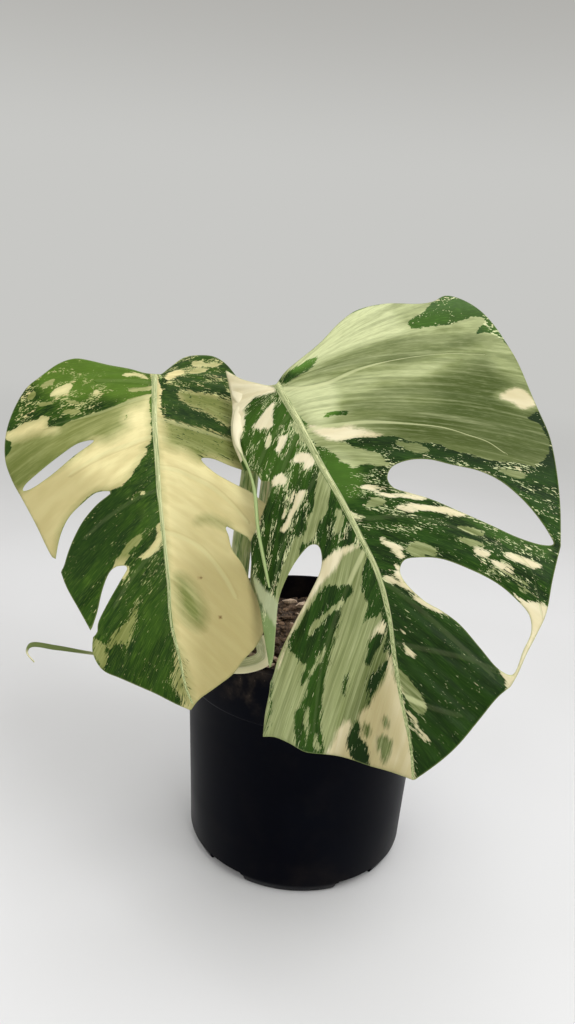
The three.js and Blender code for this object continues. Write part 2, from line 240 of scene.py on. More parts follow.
def new_mesh(name: str, points: np.ndarray, faces: list) -> bpy.types.Object:
    """A smooth mesh object in the scene.

    Args:
        name: the piece's name.
        points: its corners in millimetres, one per row.
        faces: its faces, as rows of corner numbers.

    Returns:
        The new object.
    """
    mesh = bpy.data.meshes.new(name)
    mesh.from_pydata((np.asarray(points) * MM).tolist(), [], [list(map(int, face)) for face in faces])
    mesh.validate()
    mesh.shade_smooth()
    return new_object(name, mesh)


def add_values(piece: bpy.types.Object, name: str, values: np.ndarray) -> None:
    """Keeps one number for each corner of a piece, for its material.

    Args:
        piece: the piece.
        name: the name that the material reads.
        values: one number, or one row of three, for each corner.
    """
    flat = np.asarray(values, np.float32)
    kind = "FLOAT_VECTOR" if flat.ndim == 2 else "FLOAT"
    layer = piece.data.attributes.new(name, kind, "POINT")
    layer.data.foreach_set("vector" if flat.ndim == 2 else "value", flat.ravel())


def add_to_skins(piece: bpy.types.Object, values: dict[str, np.ndarray]) -> None:
    """Keeps the same numbers for a leaf's front and back skin, and says which is the back.

    Args:
        piece: the leaf.
        values: each number's name and its value for each corner of one skin.
    """
    for label, value in values.items():
        add_values(piece, label, np.concatenate([value, value]))
    add_values(piece, "back", np.repeat([0.0, 1.0], len(values["edge"])))


def finish_piece(
    piece: bpy.types.Object, material: bpy.types.Material, slot: str, nodes: tuple[str, ...] = ()
) -> None:
    """Dresses a piece, puts it on the body and hides the CAD nodes that it replaces.

    Args:
        piece: the piece.
        material: its material.
        slot: the record's material slot; not used.
        nodes: the CAD nodes that it replaces.
    """
    piece.data.materials.append(material)
    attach(piece, BODY)
    if nodes:
        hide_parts(*nodes)
    log.info("%s: %d faces", piece.name, len(piece.data.polygons))


def shell_of_turn(profile: Ring, sides: int) -> tuple[np.ndarray, list]:
    """A profile turned about the Z axis, closed where it starts and ends on the axis.

    Args:
        profile: pairs of radius and height.
        sides: how many steps go round.

    Returns:
        The corners and the faces.
    """
    turn = 2 * np.pi * np.arange(sides) / sides
    points, rows = [], []
    for radius, height in profile:
        if radius < 1e-6:
            rows.append([len(points)])
            points.append((0.0, 0.0, height))
            continue
        rows.append(list(range(len(points), len(points) + sides)))
        points.extend(zip(radius * np.cos(turn), radius * np.sin(turn), np.full(sides, height)))
    faces = []
    for low, high in zip(rows[:-1], rows[1:]):
        for j in range(sides):
            k = (j + 1) % sides
            if len(low) == 1:
                faces.append((low[0], high[k], high[j]))
            elif len(high) == 1:
                faces.append((low[j], low[k], high[0]))
            else:
                faces.append((low[j], low[k], high[k], high[j]))
    return np.array(points), faces


@dataclass
class Route:
    """A smooth way through space with a direction across it."""

    places: Triples
    across: Triple | Triples
    steps: int

    def frames(self) -> tuple[np.ndarray, np.ndarray, np.ndarray, np.ndarray]:
        """The stations of the way.

        Returns:
            How far along each station lies from 0 to 1, its place, its side and its up direction.
        """
        spans = max(4, round(self.steps / (len(self.places) - 1)))
        line = smooth_line(self.places, spans=spans)
        along = np.gradient(line, axis=0)
        along /= np.linalg.norm(along, axis=1)[:, None]
        across = np.asarray(self.across, float)
        if across.ndim == 2:
            across = smooth_line(across, even=True, spans=spans)
        up = np.cross(along, across)
        up /= np.linalg.norm(up, axis=1)[:, None]
        return np.linspace(0, 1, len(line)), line, np.cross(up, along), up

    def measure(self, widths: tuple[float, ...]) -> tuple[np.ndarray, np.ndarray, np.ndarray]:
        """What a stalk needs to know of the stations of the way.

        Args:
            widths: widths at even steps along the way.

        Returns:
            How far along each station lies, from 0 to 1 and in millimetres, and its half width.
        """
        u, line, _, _ = self.frames()
        length = np.concatenate([[0], np.cumsum(np.linalg.norm(np.diff(line, axis=0), axis=1))])
        return u, length, np.interp(u, np.linspace(0, 1, len(widths)), widths) / 2


def sweep(route: Route, section: np.ndarray) -> tuple[np.ndarray, list]:
    """A closed body with a section at each station of a route.

    Args:
        route: the way.
        section: offsets to the side and up, for each station and each corner of the section.

    Returns:
        The corners and the faces.
    """
    _, line, side, up = route.frames()
    sides = section.shape[1]
    points = line[:, None] + section[:, :, :1] * side[:, None] + section[:, :, 1:] * up[:, None]
    faces = []
    for i in range(len(line) - 1):
        for j in range(sides):
            k = (j + 1) % sides
            a, b = i * sides, (i + 1) * sides
            faces.append((a + j, b + j, b + k, a + k))
    last = (len(line) - 1) * sides
    faces.append(tuple(range(sides)))
    faces.append(tuple(last + j for j in reversed(range(sides))))
    return points.reshape(-1, 3), faces


# Material nodes


def linear(red: int, green: int, blue: int) -> tuple[float, float, float, float]:
    """A colour given on a 0 to 255 scale, as the shader wants it."""
    parts = [c / 255 for c in (red, green, blue)]
    return (*(c / 12.92 if c <= 0.04045 else ((c + 0.055) / 1.055) ** 2.4 for c in parts), 1.0)


@dataclass
class Tree:
    """A node tree with short ways to add nodes to it."""

    tree: bpy.types.NodeTree

    def add(self, kind: str, values: dict | None = None, **settings: object) -> bpy.types.Node:
        """A new node.

        Args:
            kind: the kind of node.
            values: what each input gets, by its number or name: a socket or a plain value.
            settings: the node's settings.

        Returns:
            The node.
        """
        node = self.tree.nodes.new(kind)
        for name, value in settings.items():
            setattr(node, name, value)
        self.feed(node, values or {})
        return node

    def feed(self, node: bpy.types.Node, values: dict) -> None:
        """Feeds several inputs of a node, each by its number or name."""
        for key, value in values.items():
            self.join(value, node.inputs[key])

    def join(self, value: object, socket: bpy.types.NodeSocket) -> None:
        """Feeds a socket.

        Args:
            value: another socket or a plain value.
            socket: the socket that gets it.
        """
        if isinstance(value, bpy.types.NodeSocket):
            self.tree.links.new(value, socket)
        else:
            socket.default_value = value

    def math(self, operation: str, a: object, b: object = 0.0, clamp: bool = False) -> object:
        """The result of one sum."""
        return self.add("ShaderNodeMath", {0: a, 1: b}, operation=operation, use_clamp=clamp).outputs[0]

    def mix(self, amount: object, a: object, b: object) -> object:
        """One colour mixed into another."""
        return self.add("ShaderNodeMix", {0: amount, 6: a, 7: b}, data_type="RGBA").outputs[2]

    def attribute(self, name: str, output: str = "Fac") -> object:
        """A number, or a vector, that the mesh keeps for each corner."""
        return self.add("ShaderNodeAttribute", attribute_name=name).outputs[output]

    def noise(self, vector: object, scale: float, detail: float = 2.0, rough: float = 0.5) -> object:
        """Soft noise from 0 to 1."""
        values = {"Vector": vector, "Scale": scale, "Detail": detail, "Roughness": rough}
        return self.add("ShaderNodeTexNoise", values).outputs["Fac"]

    def ramp(self, value: object, low: float, high: float, start: float = 0.0, end: float = 1.0) -> object:
        """A value brought smoothly from one range to another and held there."""
        values = dict(enumerate((value, low, high, start, end)))
        return self.add("ShaderNodeMapRange", values, interpolation_type="SMOOTHSTEP").outputs[0]

    def layers(self, color: object, *steps: tuple) -> object:
        """A colour under others, each laid on by a ramp or by a plain mask.

        Args:
            color: the colour at the bottom.
            steps: for each layer the mask, the ramp's numbers, if any, and the colour.

        Returns:
            The colour in all.
        """
        for mask, *numbers, over in steps:
            color = self.mix(self.ramp(mask, *numbers) if numbers else mask, color, over)
        return color

    def grain(
        self, tree: bpy.types.NodeTree, flow: object, across: float, along: float, seed: float,
        detail: float = 2.0,
    ) -> object:
        """Noise drawn out along a piece's flow, by the shared effect for it."""
        values = {"Flow": flow, "Across": across, "Along": along, "Seed": seed, "Detail": detail}
        return self.group(tree, **values).outputs["Value"]

    def place(self) -> object:
        """The place on the object."""
        return self.add("ShaderNodeTexCoord").outputs["Object"]

    def stretched(self, scale: Triple) -> object:
        """The place on the object, scaled by a different number each way."""
        return self.add("ShaderNodeVectorMath", {0: self.place(), 1: scale}, operation="MULTIPLY").outputs[0]

    def bump(self, height: object, strength: float, distance: float) -> object:
        """A normal that a height bends."""
        values = {"Strength": strength, "Distance": distance, "Height": height}
        return self.add("ShaderNodeBump", values).outputs[0]

    def group(self, tree: bpy.types.NodeTree, **values: object) -> bpy.types.Node:
        """A shared effect placed here with its own values."""
        return self.add("ShaderNodeGroup", values, node_tree=tree)


def new_group(name: str, inputs: dict[str, tuple[str, object]], outputs: dict[str, str]) -> tuple:
    """An empty node group with named sockets.

    Args:
        name: the group's name.
        inputs: each input's kind and its value to start with.
        outputs: each output's kind.

    Returns:
        The group's tree, its input node and its output node.
    """
    tree = bpy.data.node_groups.new(name, "ShaderNodeTree")
    for label, (kind, value) in inputs.items():
        socket = tree.interface.new_socket(label, in_out="INPUT", socket_type=kind)
        if value is not None:
            socket.default_value = value
    for label, kind in outputs.items():
        tree.interface.new_socket(label, in_out="OUTPUT", socket_type=kind)
    return tree, tree.nodes.new("NodeGroupInput"), tree.nodes.new("NodeGroupOutput")


class Effects:
    """The shader effects that several finishes share."""

    def __init__(self) -> None:
        """Makes each effect once."""
        self.grain = self.make_grain()
        self.edge = self.make_edge()
        self.dust = self.make_dust()

    @staticmethod
    def make_grain() -> bpy.types.NodeTree:
        """Noise drawn out along the flow of a piece, as veins and fibres run.

        Returns:
            The group, with the noise as Value.
        """
        inputs = {
            "Flow": ("NodeSocketVector", None),
            "Across": ("NodeSocketFloat", 1.0),
            "Along": ("NodeSocketFloat", 0.1),
            "Seed": ("NodeSocketFloat", 0.0),
            "Detail": ("NodeSocketFloat", 2.0),
        }
        tree, start, end = new_group("drawn_out_grain", inputs, {"Value": "NodeSocketFloat"})
        nodes = Tree(tree)
        across, along, half = nodes.add("ShaderNodeSeparateXYZ", {0: start.outputs["Flow"]}).outputs
        turned = {
            0: nodes.math("MULTIPLY", across, start.outputs["Across"]),
            1: nodes.math("MULTIPLY", along, start.outputs["Along"]),
            2: nodes.math("ADD", half, start.outputs["Seed"]),
        }
        place = nodes.add("ShaderNodeCombineXYZ", turned).outputs[0]
        nodes.join(nodes.noise(place, 1.0, start.outputs["Detail"]), end.inputs["Value"])
        return tree

    @staticmethod
    def make_edge() -> bpy.types.NodeTree:
        """A firm mask from a depth, frayed by noise.

        Returns:
            The group, with the mask as Mask.
        """
        inputs = {
            "Depth": ("NodeSocketFloat", 0.0),
            "Coarse": ("NodeSocketFloat", 0.5),
            "Fine": ("NodeSocketFloat", 0.5),
            "Fray": ("NodeSocketFloat", 3.0),
            "Softness": ("NodeSocketFloat", 0.4),
        }
        tree, start, end = new_group("frayed_edge", inputs, {"Mask": "NodeSocketFloat"})
        nodes = Tree(tree)
        coarse = nodes.math("SUBTRACT", start.outputs["Coarse"], 0.5)
        fine = nodes.math("SUBTRACT", start.outputs["Fine"], 0.5)
        both = nodes.math("ADD", coarse, nodes.math("MULTIPLY", fine, 0.6))
        moved = nodes.math("MULTIPLY", both, start.outputs["Fray"])
        total = nodes.math("ADD", start.outputs["Depth"], moved)
        share = nodes.math("DIVIDE", total, start.outputs["Softness"])
        nodes.join(nodes.math("ADD", share, 0.5, clamp=True), end.inputs["Mask"])
        return tree

    @staticmethod
    def make_dust() -> bpy.types.NodeTree:
        """A colour with patches of dust and small crumbs of mix on it.

        Returns:
            The group, with the dusted Color and the Amount of dust.
        """
        inputs = {
            "Color": ("NodeSocketColor", (0.1, 0.1, 0.1, 1)),
            "Dust": ("NodeSocketColor", linear(120, 104, 86)),
            "Place": ("NodeSocketVector", None),
            "Amount": ("NodeSocketFloat", 0.3),
        }
        outputs = {"Color": "NodeSocketColor", "Amount": "NodeSocketFloat"}
        tree, start, end = new_group("dusting", inputs, outputs)
        nodes = Tree(tree)
        cloud = nodes.noise(start.outputs["Place"], 40, 4, 0.6)
        crumb = nodes.noise(start.outputs["Place"], 620, 2, 0.5)
        haze = nodes.ramp(cloud, 0.45, 0.8, 0.0, 0.55)
        spots = nodes.math("MULTIPLY", nodes.ramp(crumb, 0.66, 0.72), nodes.ramp(cloud, 0.5, 0.62))
        share = nodes.math("MAXIMUM", haze, spots)
        share = nodes.math("MULTIPLY", share, start.outputs["Amount"], clamp=True)
        nodes.join(nodes.mix(share, start.outputs["Color"], start.outputs["Dust"]), end.inputs["Color"])
        nodes.join(share, end.inputs["Amount"])
        return tree


def new_material(name: str) -> tuple[bpy.types.Material, Tree, bpy.types.Node]:
    """An empty material.

    Args:
        name: its name.

    Returns:
        The material, its tree and its surface shader.
    """
    material = bpy.data.materials.new(name)
    material.use_nodes = True
    return material, Tree(material.node_tree), material.node_tree.nodes["Principled BSDF"]


@dataclass(frozen=True)
class LeafFinish:
    """The finish of a variegated leaf: green, sage and cream cells, veins, a satin skin and painted light
    and shade.
    """

    name: str
    # lit, sage_lit and cream_lit are painted lit tones, also used for lighter cells; deep, olive and tan are
    # painted shaded tones, also used for darker cells.
    deep: tuple = linear(15, 36, 4)
    green: tuple = linear(33, 64, 10)
    lit: tuple = linear(82, 120, 40)
    sage: tuple = linear(132, 142, 88)
    sage_lit: tuple = linear(200, 206, 156)
    olive: tuple = linear(64, 78, 27)
    cream: tuple = linear(214, 202, 162)
    cream_lit: tuple = linear(236, 228, 196)
    tan: tuple = linear(164, 152, 106)
    vein: tuple = linear(196, 200, 150)
    rib: tuple = linear(220, 222, 170)
    rib_dark: tuple = linear(72, 100, 38)
    rim: tuple = linear(150, 164, 100)
    spot: tuple = linear(96, 62, 30)
    under: tuple = linear(166, 174, 136)
    roughness: float = 0.45
    sheen: float = 0.1
    veined: float = 0.6
    fray: float = 5.0
    blend: float = 2.2

    def make(self, effects: Effects) -> bpy.types.Material:
        """Builds the material.

        Args:
            effects: the shared effects.

        Returns:
            The material.
        """
        material, nodes, surface = new_material(self.name)
        grain = partial(nodes.grain, effects.grain, nodes.attribute("flow", "Vector"))
        wide = grain(0.16, 0.05, 1.0)
        coarse = grain(0.42, 0.09, 5.0, 3.0)
        fine = grain(1.9, 0.55, 9.0, 3.0)
        thread = grain(2.6, 0.2, 13.0, 4.0)
        long = grain(0.55, 0.02, 61.0, 4.0)
        shade = nodes.attribute("shade")
        depth = nodes.attribute("pale")
        # Painted light and shade: where the shade wash is above nought, up takes each tone towards its lit
        # colour; where it is below, down takes it towards deep, olive or tan.
        up = nodes.math("MAXIMUM", shade, 0.0)
        down = nodes.math("MULTIPLY", nodes.math("MINIMUM", shade, 0.0), -1.0)

        cluster = nodes.ramp(grain(0.2, 0.07, 41.0), 0.38, 0.58)
        cluster = nodes.math("MULTIPLY", cluster, nodes.attribute("fleck"))
        level = nodes.math("SUBTRACT", 0.79, nodes.math("MULTIPLY", cluster, 0.22))
        level = nodes.math("SUBTRACT", level, nodes.ramp(depth, -4.0, 0.0, 0.0, 0.05))
        flecks = self.marks(nodes, level, 0.03, (grain(2.2, 0.6, 31.0, 2.0), grain(1.3, 0.26, 37.0, 3.0)))
        level = nodes.math("SUBTRACT", 0.84, nodes.math("MULTIPLY", nodes.attribute("streak"), 0.3))
        level = nodes.math("SUBTRACT", level, nodes.ramp(depth, 0.0, 3.5, 0.16, 0.0))
        streaks = self.marks(nodes, level, 0.04, (grain(0.9, 0.09, 51.0, 3.0), grain(1.5, 0.35, 57.0, 2.0)))

        green = nodes.layers(
            self.deep,
            (wide, 0.35, 0.62, self.green),
            (thread, 0.45, 0.7, 0.0, 0.35, self.lit),
            (up, self.lit),
            (down, self.deep),
            (flecks, nodes.layers(self.sage_lit, (coarse, 0.5, 0.7, self.cream))),
        )
        sage = nodes.layers(
            self.sage,
            (wide, 0.3, 0.7, 0.05, 0.35, self.sage_lit),
            (coarse, 0.3, 0.6, 0.2, 0.0, self.olive),
            (up, self.sage_lit),
            (down, self.olive),
            (long, 0.32, 0.58, 0.36, 0.0, self.olive),
            (long, 0.48, 0.74, 0.0, 0.3, self.sage_lit),
            (thread, 0.35, 0.6, 0.16, 0.0, self.olive),
            (thread, 0.5, 0.7, 0.0, 0.1, self.sage_lit),
        )
        cream = nodes.layers(
            self.cream,
            (wide, 0.3, 0.7, 0.15, 0.85, self.cream_lit),
            (up, self.cream_lit),
            (down, self.tan),
            (thread, 0.5, 0.7, 0.0, 0.2, self.sage_lit),
        )

        mask = {"Coarse": coarse, "Fine": fine, "Fray": self.fray, "Softness": 0.35}
        pale_edge = nodes.group(effects.edge, Depth=depth, **mask).outputs[0]
        mask.update(Softness=self.blend)
        cream_edge = nodes.group(effects.edge, Depth=nodes.attribute("cream"), **mask).outputs[0]
        pale = nodes.mix(streaks, nodes.mix(cream_edge, sage, cream), green)
        color = nodes.mix(pale_edge, green, pale)

        gate = nodes.ramp(nodes.attribute("vein_gate"), 1.6, 2.6, 1.0, 0.0)
        offset = nodes.attribute("vein")
        # Painted shadow: a dark band beside each side vein, where the raised vein shades the blade next to
        # it; dark is the colour of that painted shadow.
        crease_shadow = nodes.math("ABSOLUTE", nodes.math("SUBTRACT", offset, 1.5))
        crease_shadow = nodes.math("MULTIPLY", nodes.ramp(crease_shadow, 0.2, 1.1, 0.4, 0.0), gate)
        dark = nodes.mix(pale_edge, self.deep, nodes.mix(cream_edge, self.olive, self.tan))
        color = nodes.mix(crease_shadow, color, dark)
        vein = nodes.math("MULTIPLY", nodes.ramp(nodes.math("ABSOLUTE", offset), 0.3, 0.9, 1.0, 0.0), gate)
        vein = nodes.math("MULTIPLY", vein, nodes.ramp(pale_edge, 0.0, 1.0, 0.04, self.veined))
        color = nodes.mix(vein, color, self.vein)
        low = nodes.math("MULTIPLY", nodes.attribute("down"), 1.4)
        lean = nodes.math("SUBTRACT", nodes.attribute("side"), low)
        half = nodes.ramp(lean, -0.55, 0.35)
        rib_color = nodes.mix(half, self.rib_dark, self.rib)
        lines = nodes.ramp(grain(0.05, 3.4, 21.0), 0.42, 0.58, 0.0, 0.75)
        rib_color = nodes.mix(lines, rib_color, nodes.mix(half, self.rib, self.rib_dark))
        inside = nodes.ramp(nodes.math("ABSOLUTE", nodes.attribute("side")), 0.7, 1.05, 1.0, 0.0)
        inside = nodes.math("MULTIPLY", inside, nodes.ramp(nodes.attribute("rib"), 2.0, 3.0, 1.0, 0.0))
        color = nodes.mix(inside, color, rib_color)
        back = nodes.attribute("back")
        color = nodes.layers(
            color,
            (nodes.attribute("edge"), 0.2, 0.7, 0.35, 0.0, self.rim),
            (nodes.attribute("under"), self.under),
            (nodes.math("MULTIPLY", back, 0.5), self.under),
            (nodes.attribute("spot"), self.spot),
        )
        rough = nodes.ramp(fine, 0.3, 0.7, self.roughness - 0.05, self.roughness + 0.08)
        rough = nodes.math("ADD", rough, nodes.math("MULTIPLY", back, 0.15))
        height = nodes.math("ADD", nodes.math("MULTIPLY", thread, 0.6), nodes.math("MULTIPLY", fine, 0.4))
        skin = {"Base Color": color, "Roughness": rough, "Specular IOR Level": self.sheen}
        nodes.feed(surface, {**skin, "Normal": nodes.bump(height, 0.3, 0.0005)})
        return material

    @staticmethod
    def marks(nodes: Tree, level: object, soft: float, grains: tuple) -> object:
        """The mask of small marks, where one of two noises is above a level."""
        masks = [nodes.ramp(nodes.math("SUBTRACT", noise, level), 0.0, soft) for noise in grains]
        return nodes.math("MAXIMUM", *masks)


@dataclass(frozen=True)
class PotFinish:
    """The finish of the pot: dark moulded plastic with a soft sheen and a little dust."""

    name: str = "dark_pot_plastic"
    plastic: tuple = linear(1, 2, 9)
    worn: tuple = linear(5, 8, 17)
    sheen: float = 0.035

    def make(self, effects: Effects) -> bpy.types.Material:
        """Builds the material.

        Args:
            effects: the shared effects.

        Returns:
            The material.
        """
        material, nodes, surface = new_material(self.name)
        place = nodes.place()
        cloud = nodes.noise(place, 14, 3)
        scuffs = nodes.noise(nodes.stretched((60, 60, 700)), 1, 3)
        worn = (cloud, 0.4, 0.7, 0.0, 0.5, self.worn), (scuffs, 0.62, 0.75, 0.0, 0.4, self.worn)
        color = nodes.layers(self.plastic, *worn)
        dusted = nodes.group(effects.dust, Color=color, Place=place, Amount=nodes.attribute("dust"))
        rough = nodes.ramp(cloud, 0.3, 0.7, 0.3, 0.4)
        rough = nodes.math("ADD", rough, nodes.math("MULTIPLY", dusted.outputs["Amount"], 0.4))
        height = nodes.math("ADD", nodes.noise(place, 1500, 2), nodes.math("MULTIPLY", scuffs, 0.5))
        skin = {"Base Color": dusted.outputs["Color"], "Roughness": rough, "Specular IOR Level": self.sheen}
        nodes.feed(surface, {**skin, "Normal": nodes.bump(height, 0.12, 0.0003)})
        return material


@dataclass(frozen=True)
class MixFinish:
    """The finish of the potting mix and its chips of bark."""

    name: str
    dark: tuple = linear(56, 42, 30)
    brown: tuple = linear(156, 124, 98)
    pale: tuple = linear(226, 200, 176)

    def make(self, effects: Effects) -> bpy.types.Material:
        """Builds the material.

        Args:
            effects: the shared effects.

        Returns:
            The material.
        """
        material, nodes, surface = new_material(self.name)
        place = nodes.place()
        lot = nodes.attribute("lot")
        crumb = nodes.noise(place, 420, 5, 0.65)
        fibre = nodes.noise(nodes.stretched((900, 200, 420)), 1, 3)
        color = nodes.layers(
            self.dark,
            (lot, 0.15, 0.95, self.brown),
            (lot, 0.72, 0.95, self.pale),
            (fibre, 0.5, 0.72, 0.0, 0.6, self.brown),
            (crumb, 0.3, 0.5, 0.85, 0.0, self.dark),
            (crumb, 0.62, 0.74, 0.0, 0.5, self.pale),
        )
        rough = nodes.ramp(crumb, 0.3, 0.7, 0.95, 0.75)
        height = nodes.math("ADD", crumb, nodes.math("MULTIPLY", fibre, 0.5))
        skin = {"Base Color": color, "Roughness": rough, "Normal": nodes.bump(height, 0.7, 0.0012)}
        nodes.feed(surface, skin)
        return material


@dataclass(frozen=True)
class StalkFinish:
    """The finish of a stalk, the stem or the sheath: striped along, with dry and dark parts."""

    name: str
    body: tuple
    stripe: tuple
    pale: tuple
    dry: tuple
    roughness: float = 0.45
    fine: float = 1.0
    stripes: float = 1.0

    def make(self, effects: Effects) -> bpy.types.Material:
        """Builds the material.

        Args:
            effects: the shared effects.

        Returns:
            The material.
        """
        material, nodes, surface = new_material(self.name)
        grain = partial(nodes.grain, effects.grain, nodes.attribute("flow", "Vector"), detail=3.0)
        bands = grain(0.55 * self.fine, 0.03, 3.0)
        lines = grain(2.6 * self.fine, 0.1, 8.0)
        marks = grain(0.9, 0.4, 15.0)
        color = nodes.layers(
            self.body,
            (bands, 0.42, 0.58, 0.0, self.stripes, self.stripe),
            (lines, 0.45, 0.65, 0.0, 0.6, self.pale),
            (nodes.attribute("pale"), self.pale),
            (nodes.attribute("dark"), self.stripe),
            (nodes.math("MULTIPLY", nodes.attribute("dry"), 0.9), self.dry),
            (marks, 0.7, 0.78, 0.0, 0.5, self.dry),
        )
        rough = nodes.ramp(marks, 0.3, 0.7, self.roughness - 0.06, self.roughness + 0.1)
        height = nodes.math("ADD", lines, nodes.math("MULTIPLY", marks, 0.6))
        skin = {"Base Color": color, "Roughness": rough, "Normal": nodes.bump(height, 0.4, 0.0005)}
        nodes.feed(surface, skin)
        return material


@dataclass(frozen=True)
class FloorFinish:
    """The finish of the floor: plain and pale, fading into the background far away."""

    name: str = "pale_floor"
    color: tuple = linear(233, 233, 235)
    far: tuple = linear(200, 200, 197)

    def make(self, effects: Effects) -> bpy.types.Material:
        """Builds the material.

        Args:
            effects: the shared effects.

        Returns:
            The material.
        """
        material, nodes, surface = new_material(self.name)
        cloud = nodes.noise(nodes.place(), 3, 2)
        color = nodes.mix(nodes.ramp(cloud, 0.3, 0.7, 0.0, 0.15), self.color, self.far)
        nodes.feed(surface, {"Base Color": color, "Roughness": 0.85, "Specular IOR Level": 0.1})
        length = nodes.add("ShaderNodeVectorMath", {0: nodes.place()}, operation="LENGTH")
        glow = nodes.add("ShaderNodeEmission", {"Color": self.far})
        fade = nodes.ramp(length.outputs["Value"], 0.35, 2.6)
        blend = nodes.add("ShaderNodeMixShader", {0: fade, 1: surface.outputs[0], 2: glow.outputs[0]})
        output = material.node_tree.nodes["Material Output"]
        nodes.join(blend.outputs[0], output.inputs["Surface"])
        return material


# Leaves


def ring(*numbers: float) -> Ring:
    """Pairs of across and along places from a plain row of numbers."""
    return tuple(zip(numbers[::2], numbers[1::2]))


def patch(tone: Tone, *numbers: float) -> Patch:
    """A patch from its tone and a plain row of numbers."""
    return Patch(tone, ring(*numbers))


def tint(wash: Wash, value: float, soft: float, *numbers: float) -> Tint:
    """A tint from its wash, its value, its softness and a plain row of numbers."""
    return Tint(wash, value, soft, ring(*numbers))


in_green, in_sage, in_cream = (partial(patch, tone) for tone in (Tone.GREEN, Tone.SAGE, Tone.CREAM))
shaded, flecked = partial(tint, Wash.SHADE), partial(tint, Wash.FLECK)
streaked, underside = partial(tint, Wash.STREAK), partial(tint, Wash.UNDER)


@dataclass
class Cut:
    """A leaf's outline laid out flat: the corners, the faces and how deep each corner lies."""

    points: np.ndarray
    faces: np.ndarray
    depth: np.ndarray


@dataclass
class LeafBlade:
    """One split leaf blade, with places (across, along) counted from where its stalk joins it."""

    name: str
    node: str
    stalk: Triple
    tip: Triple
    arch: float
    bow: float
    slope: Pair
    droop: Pair
    veins: Halves
    paint_veins: Halves
    pleat: Pair
    rib_width: Pair
    runs: tuple[Ring, ...]
    slots: tuple[Ring, ...]
    base: Tone
    patches: tuple[Patch, ...]
    tints: tuple[Tint, ...]
    midrib: Ring
    side_veins: tuple[Ring, ...]
    spots: Triples = ()
    ridge: float = 14.0
    lean: float = 2.5
    facing: Triple = EYE
    cell: float = 1.3
    half: float = 0.42
    lots: Pair = (3.0, 17.0)

    def rings(self) -> list[np.ndarray]:
        """The smooth margin and the smooth slots."""
        margin = np.vstack([smooth_line(run, even=True, spans=6)[:-1] for run in self.runs])
        return [margin] + [smooth_line(slot, closed=True, spans=5) for slot in self.slots]

    def depth(self, points: np.ndarray, rings: list[np.ndarray]) -> np.ndarray:
        """How deep each place lies inside the blade, negative in a slot or outside."""
        outside = [-near_depth(points, slot) for slot in rings[1:]]
        return np.minimum.reduce([ring_depth(points, rings[0]), *outside])

    def to_border(self, points: np.ndarray, rings: list[np.ndarray]) -> np.ndarray:
        """Places close to the border, moved onto it.

        Args:
            points: the places.
            rings: the margin and the slots.

        Returns:
            The moved places.
        """
        step = 0.05
        depth = self.depth(points, rings)
        slopes = [
            self.depth(points + offset, rings) - self.depth(points - offset, rings)
            for offset in (np.array([step, 0]), np.array([0, step]))
        ]
        slope = np.stack(slopes, axis=1)
        slope /= np.maximum(np.linalg.norm(slope, axis=1), 1e-6)[:, None]
        return points - slope * depth[:, None]

    def cut(self) -> Cut:
        """Cuts a fine grid to the margin and the slots.

        Returns:
            The flat mesh.
        """
        rings = self.rings()
        low = rings[0].min(0) - 2 * self.cell
        columns, rows = (np.ceil((rings[0].max(0) - low) / self.cell).astype(int) + 3).tolist()
        x, y = np.meshgrid(low[0] + self.cell * np.arange(columns), low[1] + self.cell * np.arange(rows))
        points = np.stack([x.ravel(), y.ravel()], axis=1)
        depth = self.depth(points, rings)
        near = np.abs(depth) < 0.33 * self.cell
        points[near] = self.to_border(points[near], rings)
        depth[near] = 0.0
        i, j = np.meshgrid(np.arange(columns - 1), np.arange(rows - 1))
        a = (i + j * columns).ravel()
        b, c, d = a + 1, a + columns + 1, a + columns
        even = ((i + j) % 2 == 0).ravel()[:, None]
        first = np.where(even, np.stack([a, b, c], 1), np.stack([a, b, d], 1))
        second = np.where(even, np.stack([a, c, d], 1), np.stack([b, c, d], 1))
        corners = np.vstack([first, second])
        signs = np.sign(depth[corners])
        middle = self.depth(points[corners].mean(1), rings)
        whole = (signs.min(1) >= 0) & ((signs.max(1) > 0) | (middle > 0))
        mixed = (signs.min(1) < 0) & (signs.max(1) > 0)
        return self.clip(points, depth, corners[whole], corners[mixed], rings)

    def clip(
        self, points: np.ndarray, depth: np.ndarray, whole: np.ndarray, mixed: np.ndarray, rings: list
    ) -> Cut:
        """Trims the triangles that cross the border.

        Args:
            points: the grid's places.
            depth: the depth of each.
            whole: the triangles inside.
            mixed: the triangles that cross the border.
            rings: the margin and the slots.

        Returns:
            The trimmed mesh.
        """
        extra: list[np.ndarray] = []
        crossings: dict[Pair, int] = {}
        faces = []
        for corners in mixed.tolist():
            outline = []
            for p, q in zip(corners, corners[1:] + corners[:1]):
                if depth[p] >= 0:
                    outline.append(p)
                if depth[p] * depth[q] < 0:
                    key = (min(p, q), max(p, q))
                    if key not in crossings:
                        share = depth[p] / (depth[p] - depth[q])
                        crossings[key] = len(points) + len(extra)
                        extra.append(points[p] + share * (points[q] - points[p]))
                    outline.append(crossings[key])
            faces.extend((outline[0], outline[k], outline[k + 1]) for k in range(1, len(outline) - 1))
        border = self.to_border(np.array(extra), rings)
        points = np.vstack([points, border])
        depth = np.concatenate([depth, np.zeros(len(border))])
        faces = np.vstack([whole, np.array(faces)])
        used, faces = np.unique(faces, return_inverse=True)
        return Cut(points[used], faces.reshape(-1, 3), np.maximum(depth[used], 0.0))

    def axes(self) -> tuple[np.ndarray, np.ndarray, np.ndarray, float]:
        """The blade's own frame.

        Returns:
            Its across, along and facing directions and its length.
        """
        stalk, tip = np.array(self.stalk, float), np.array(self.tip, float)
        length = float(np.linalg.norm(tip - stalk))
        along = (tip - stalk) / length
        normal = np.array(self.facing, float) - (stalk + tip) / 2
        normal -= along * (normal @ along)
        normal /= np.linalg.norm(normal)
        return np.cross(normal, along), along, normal, length

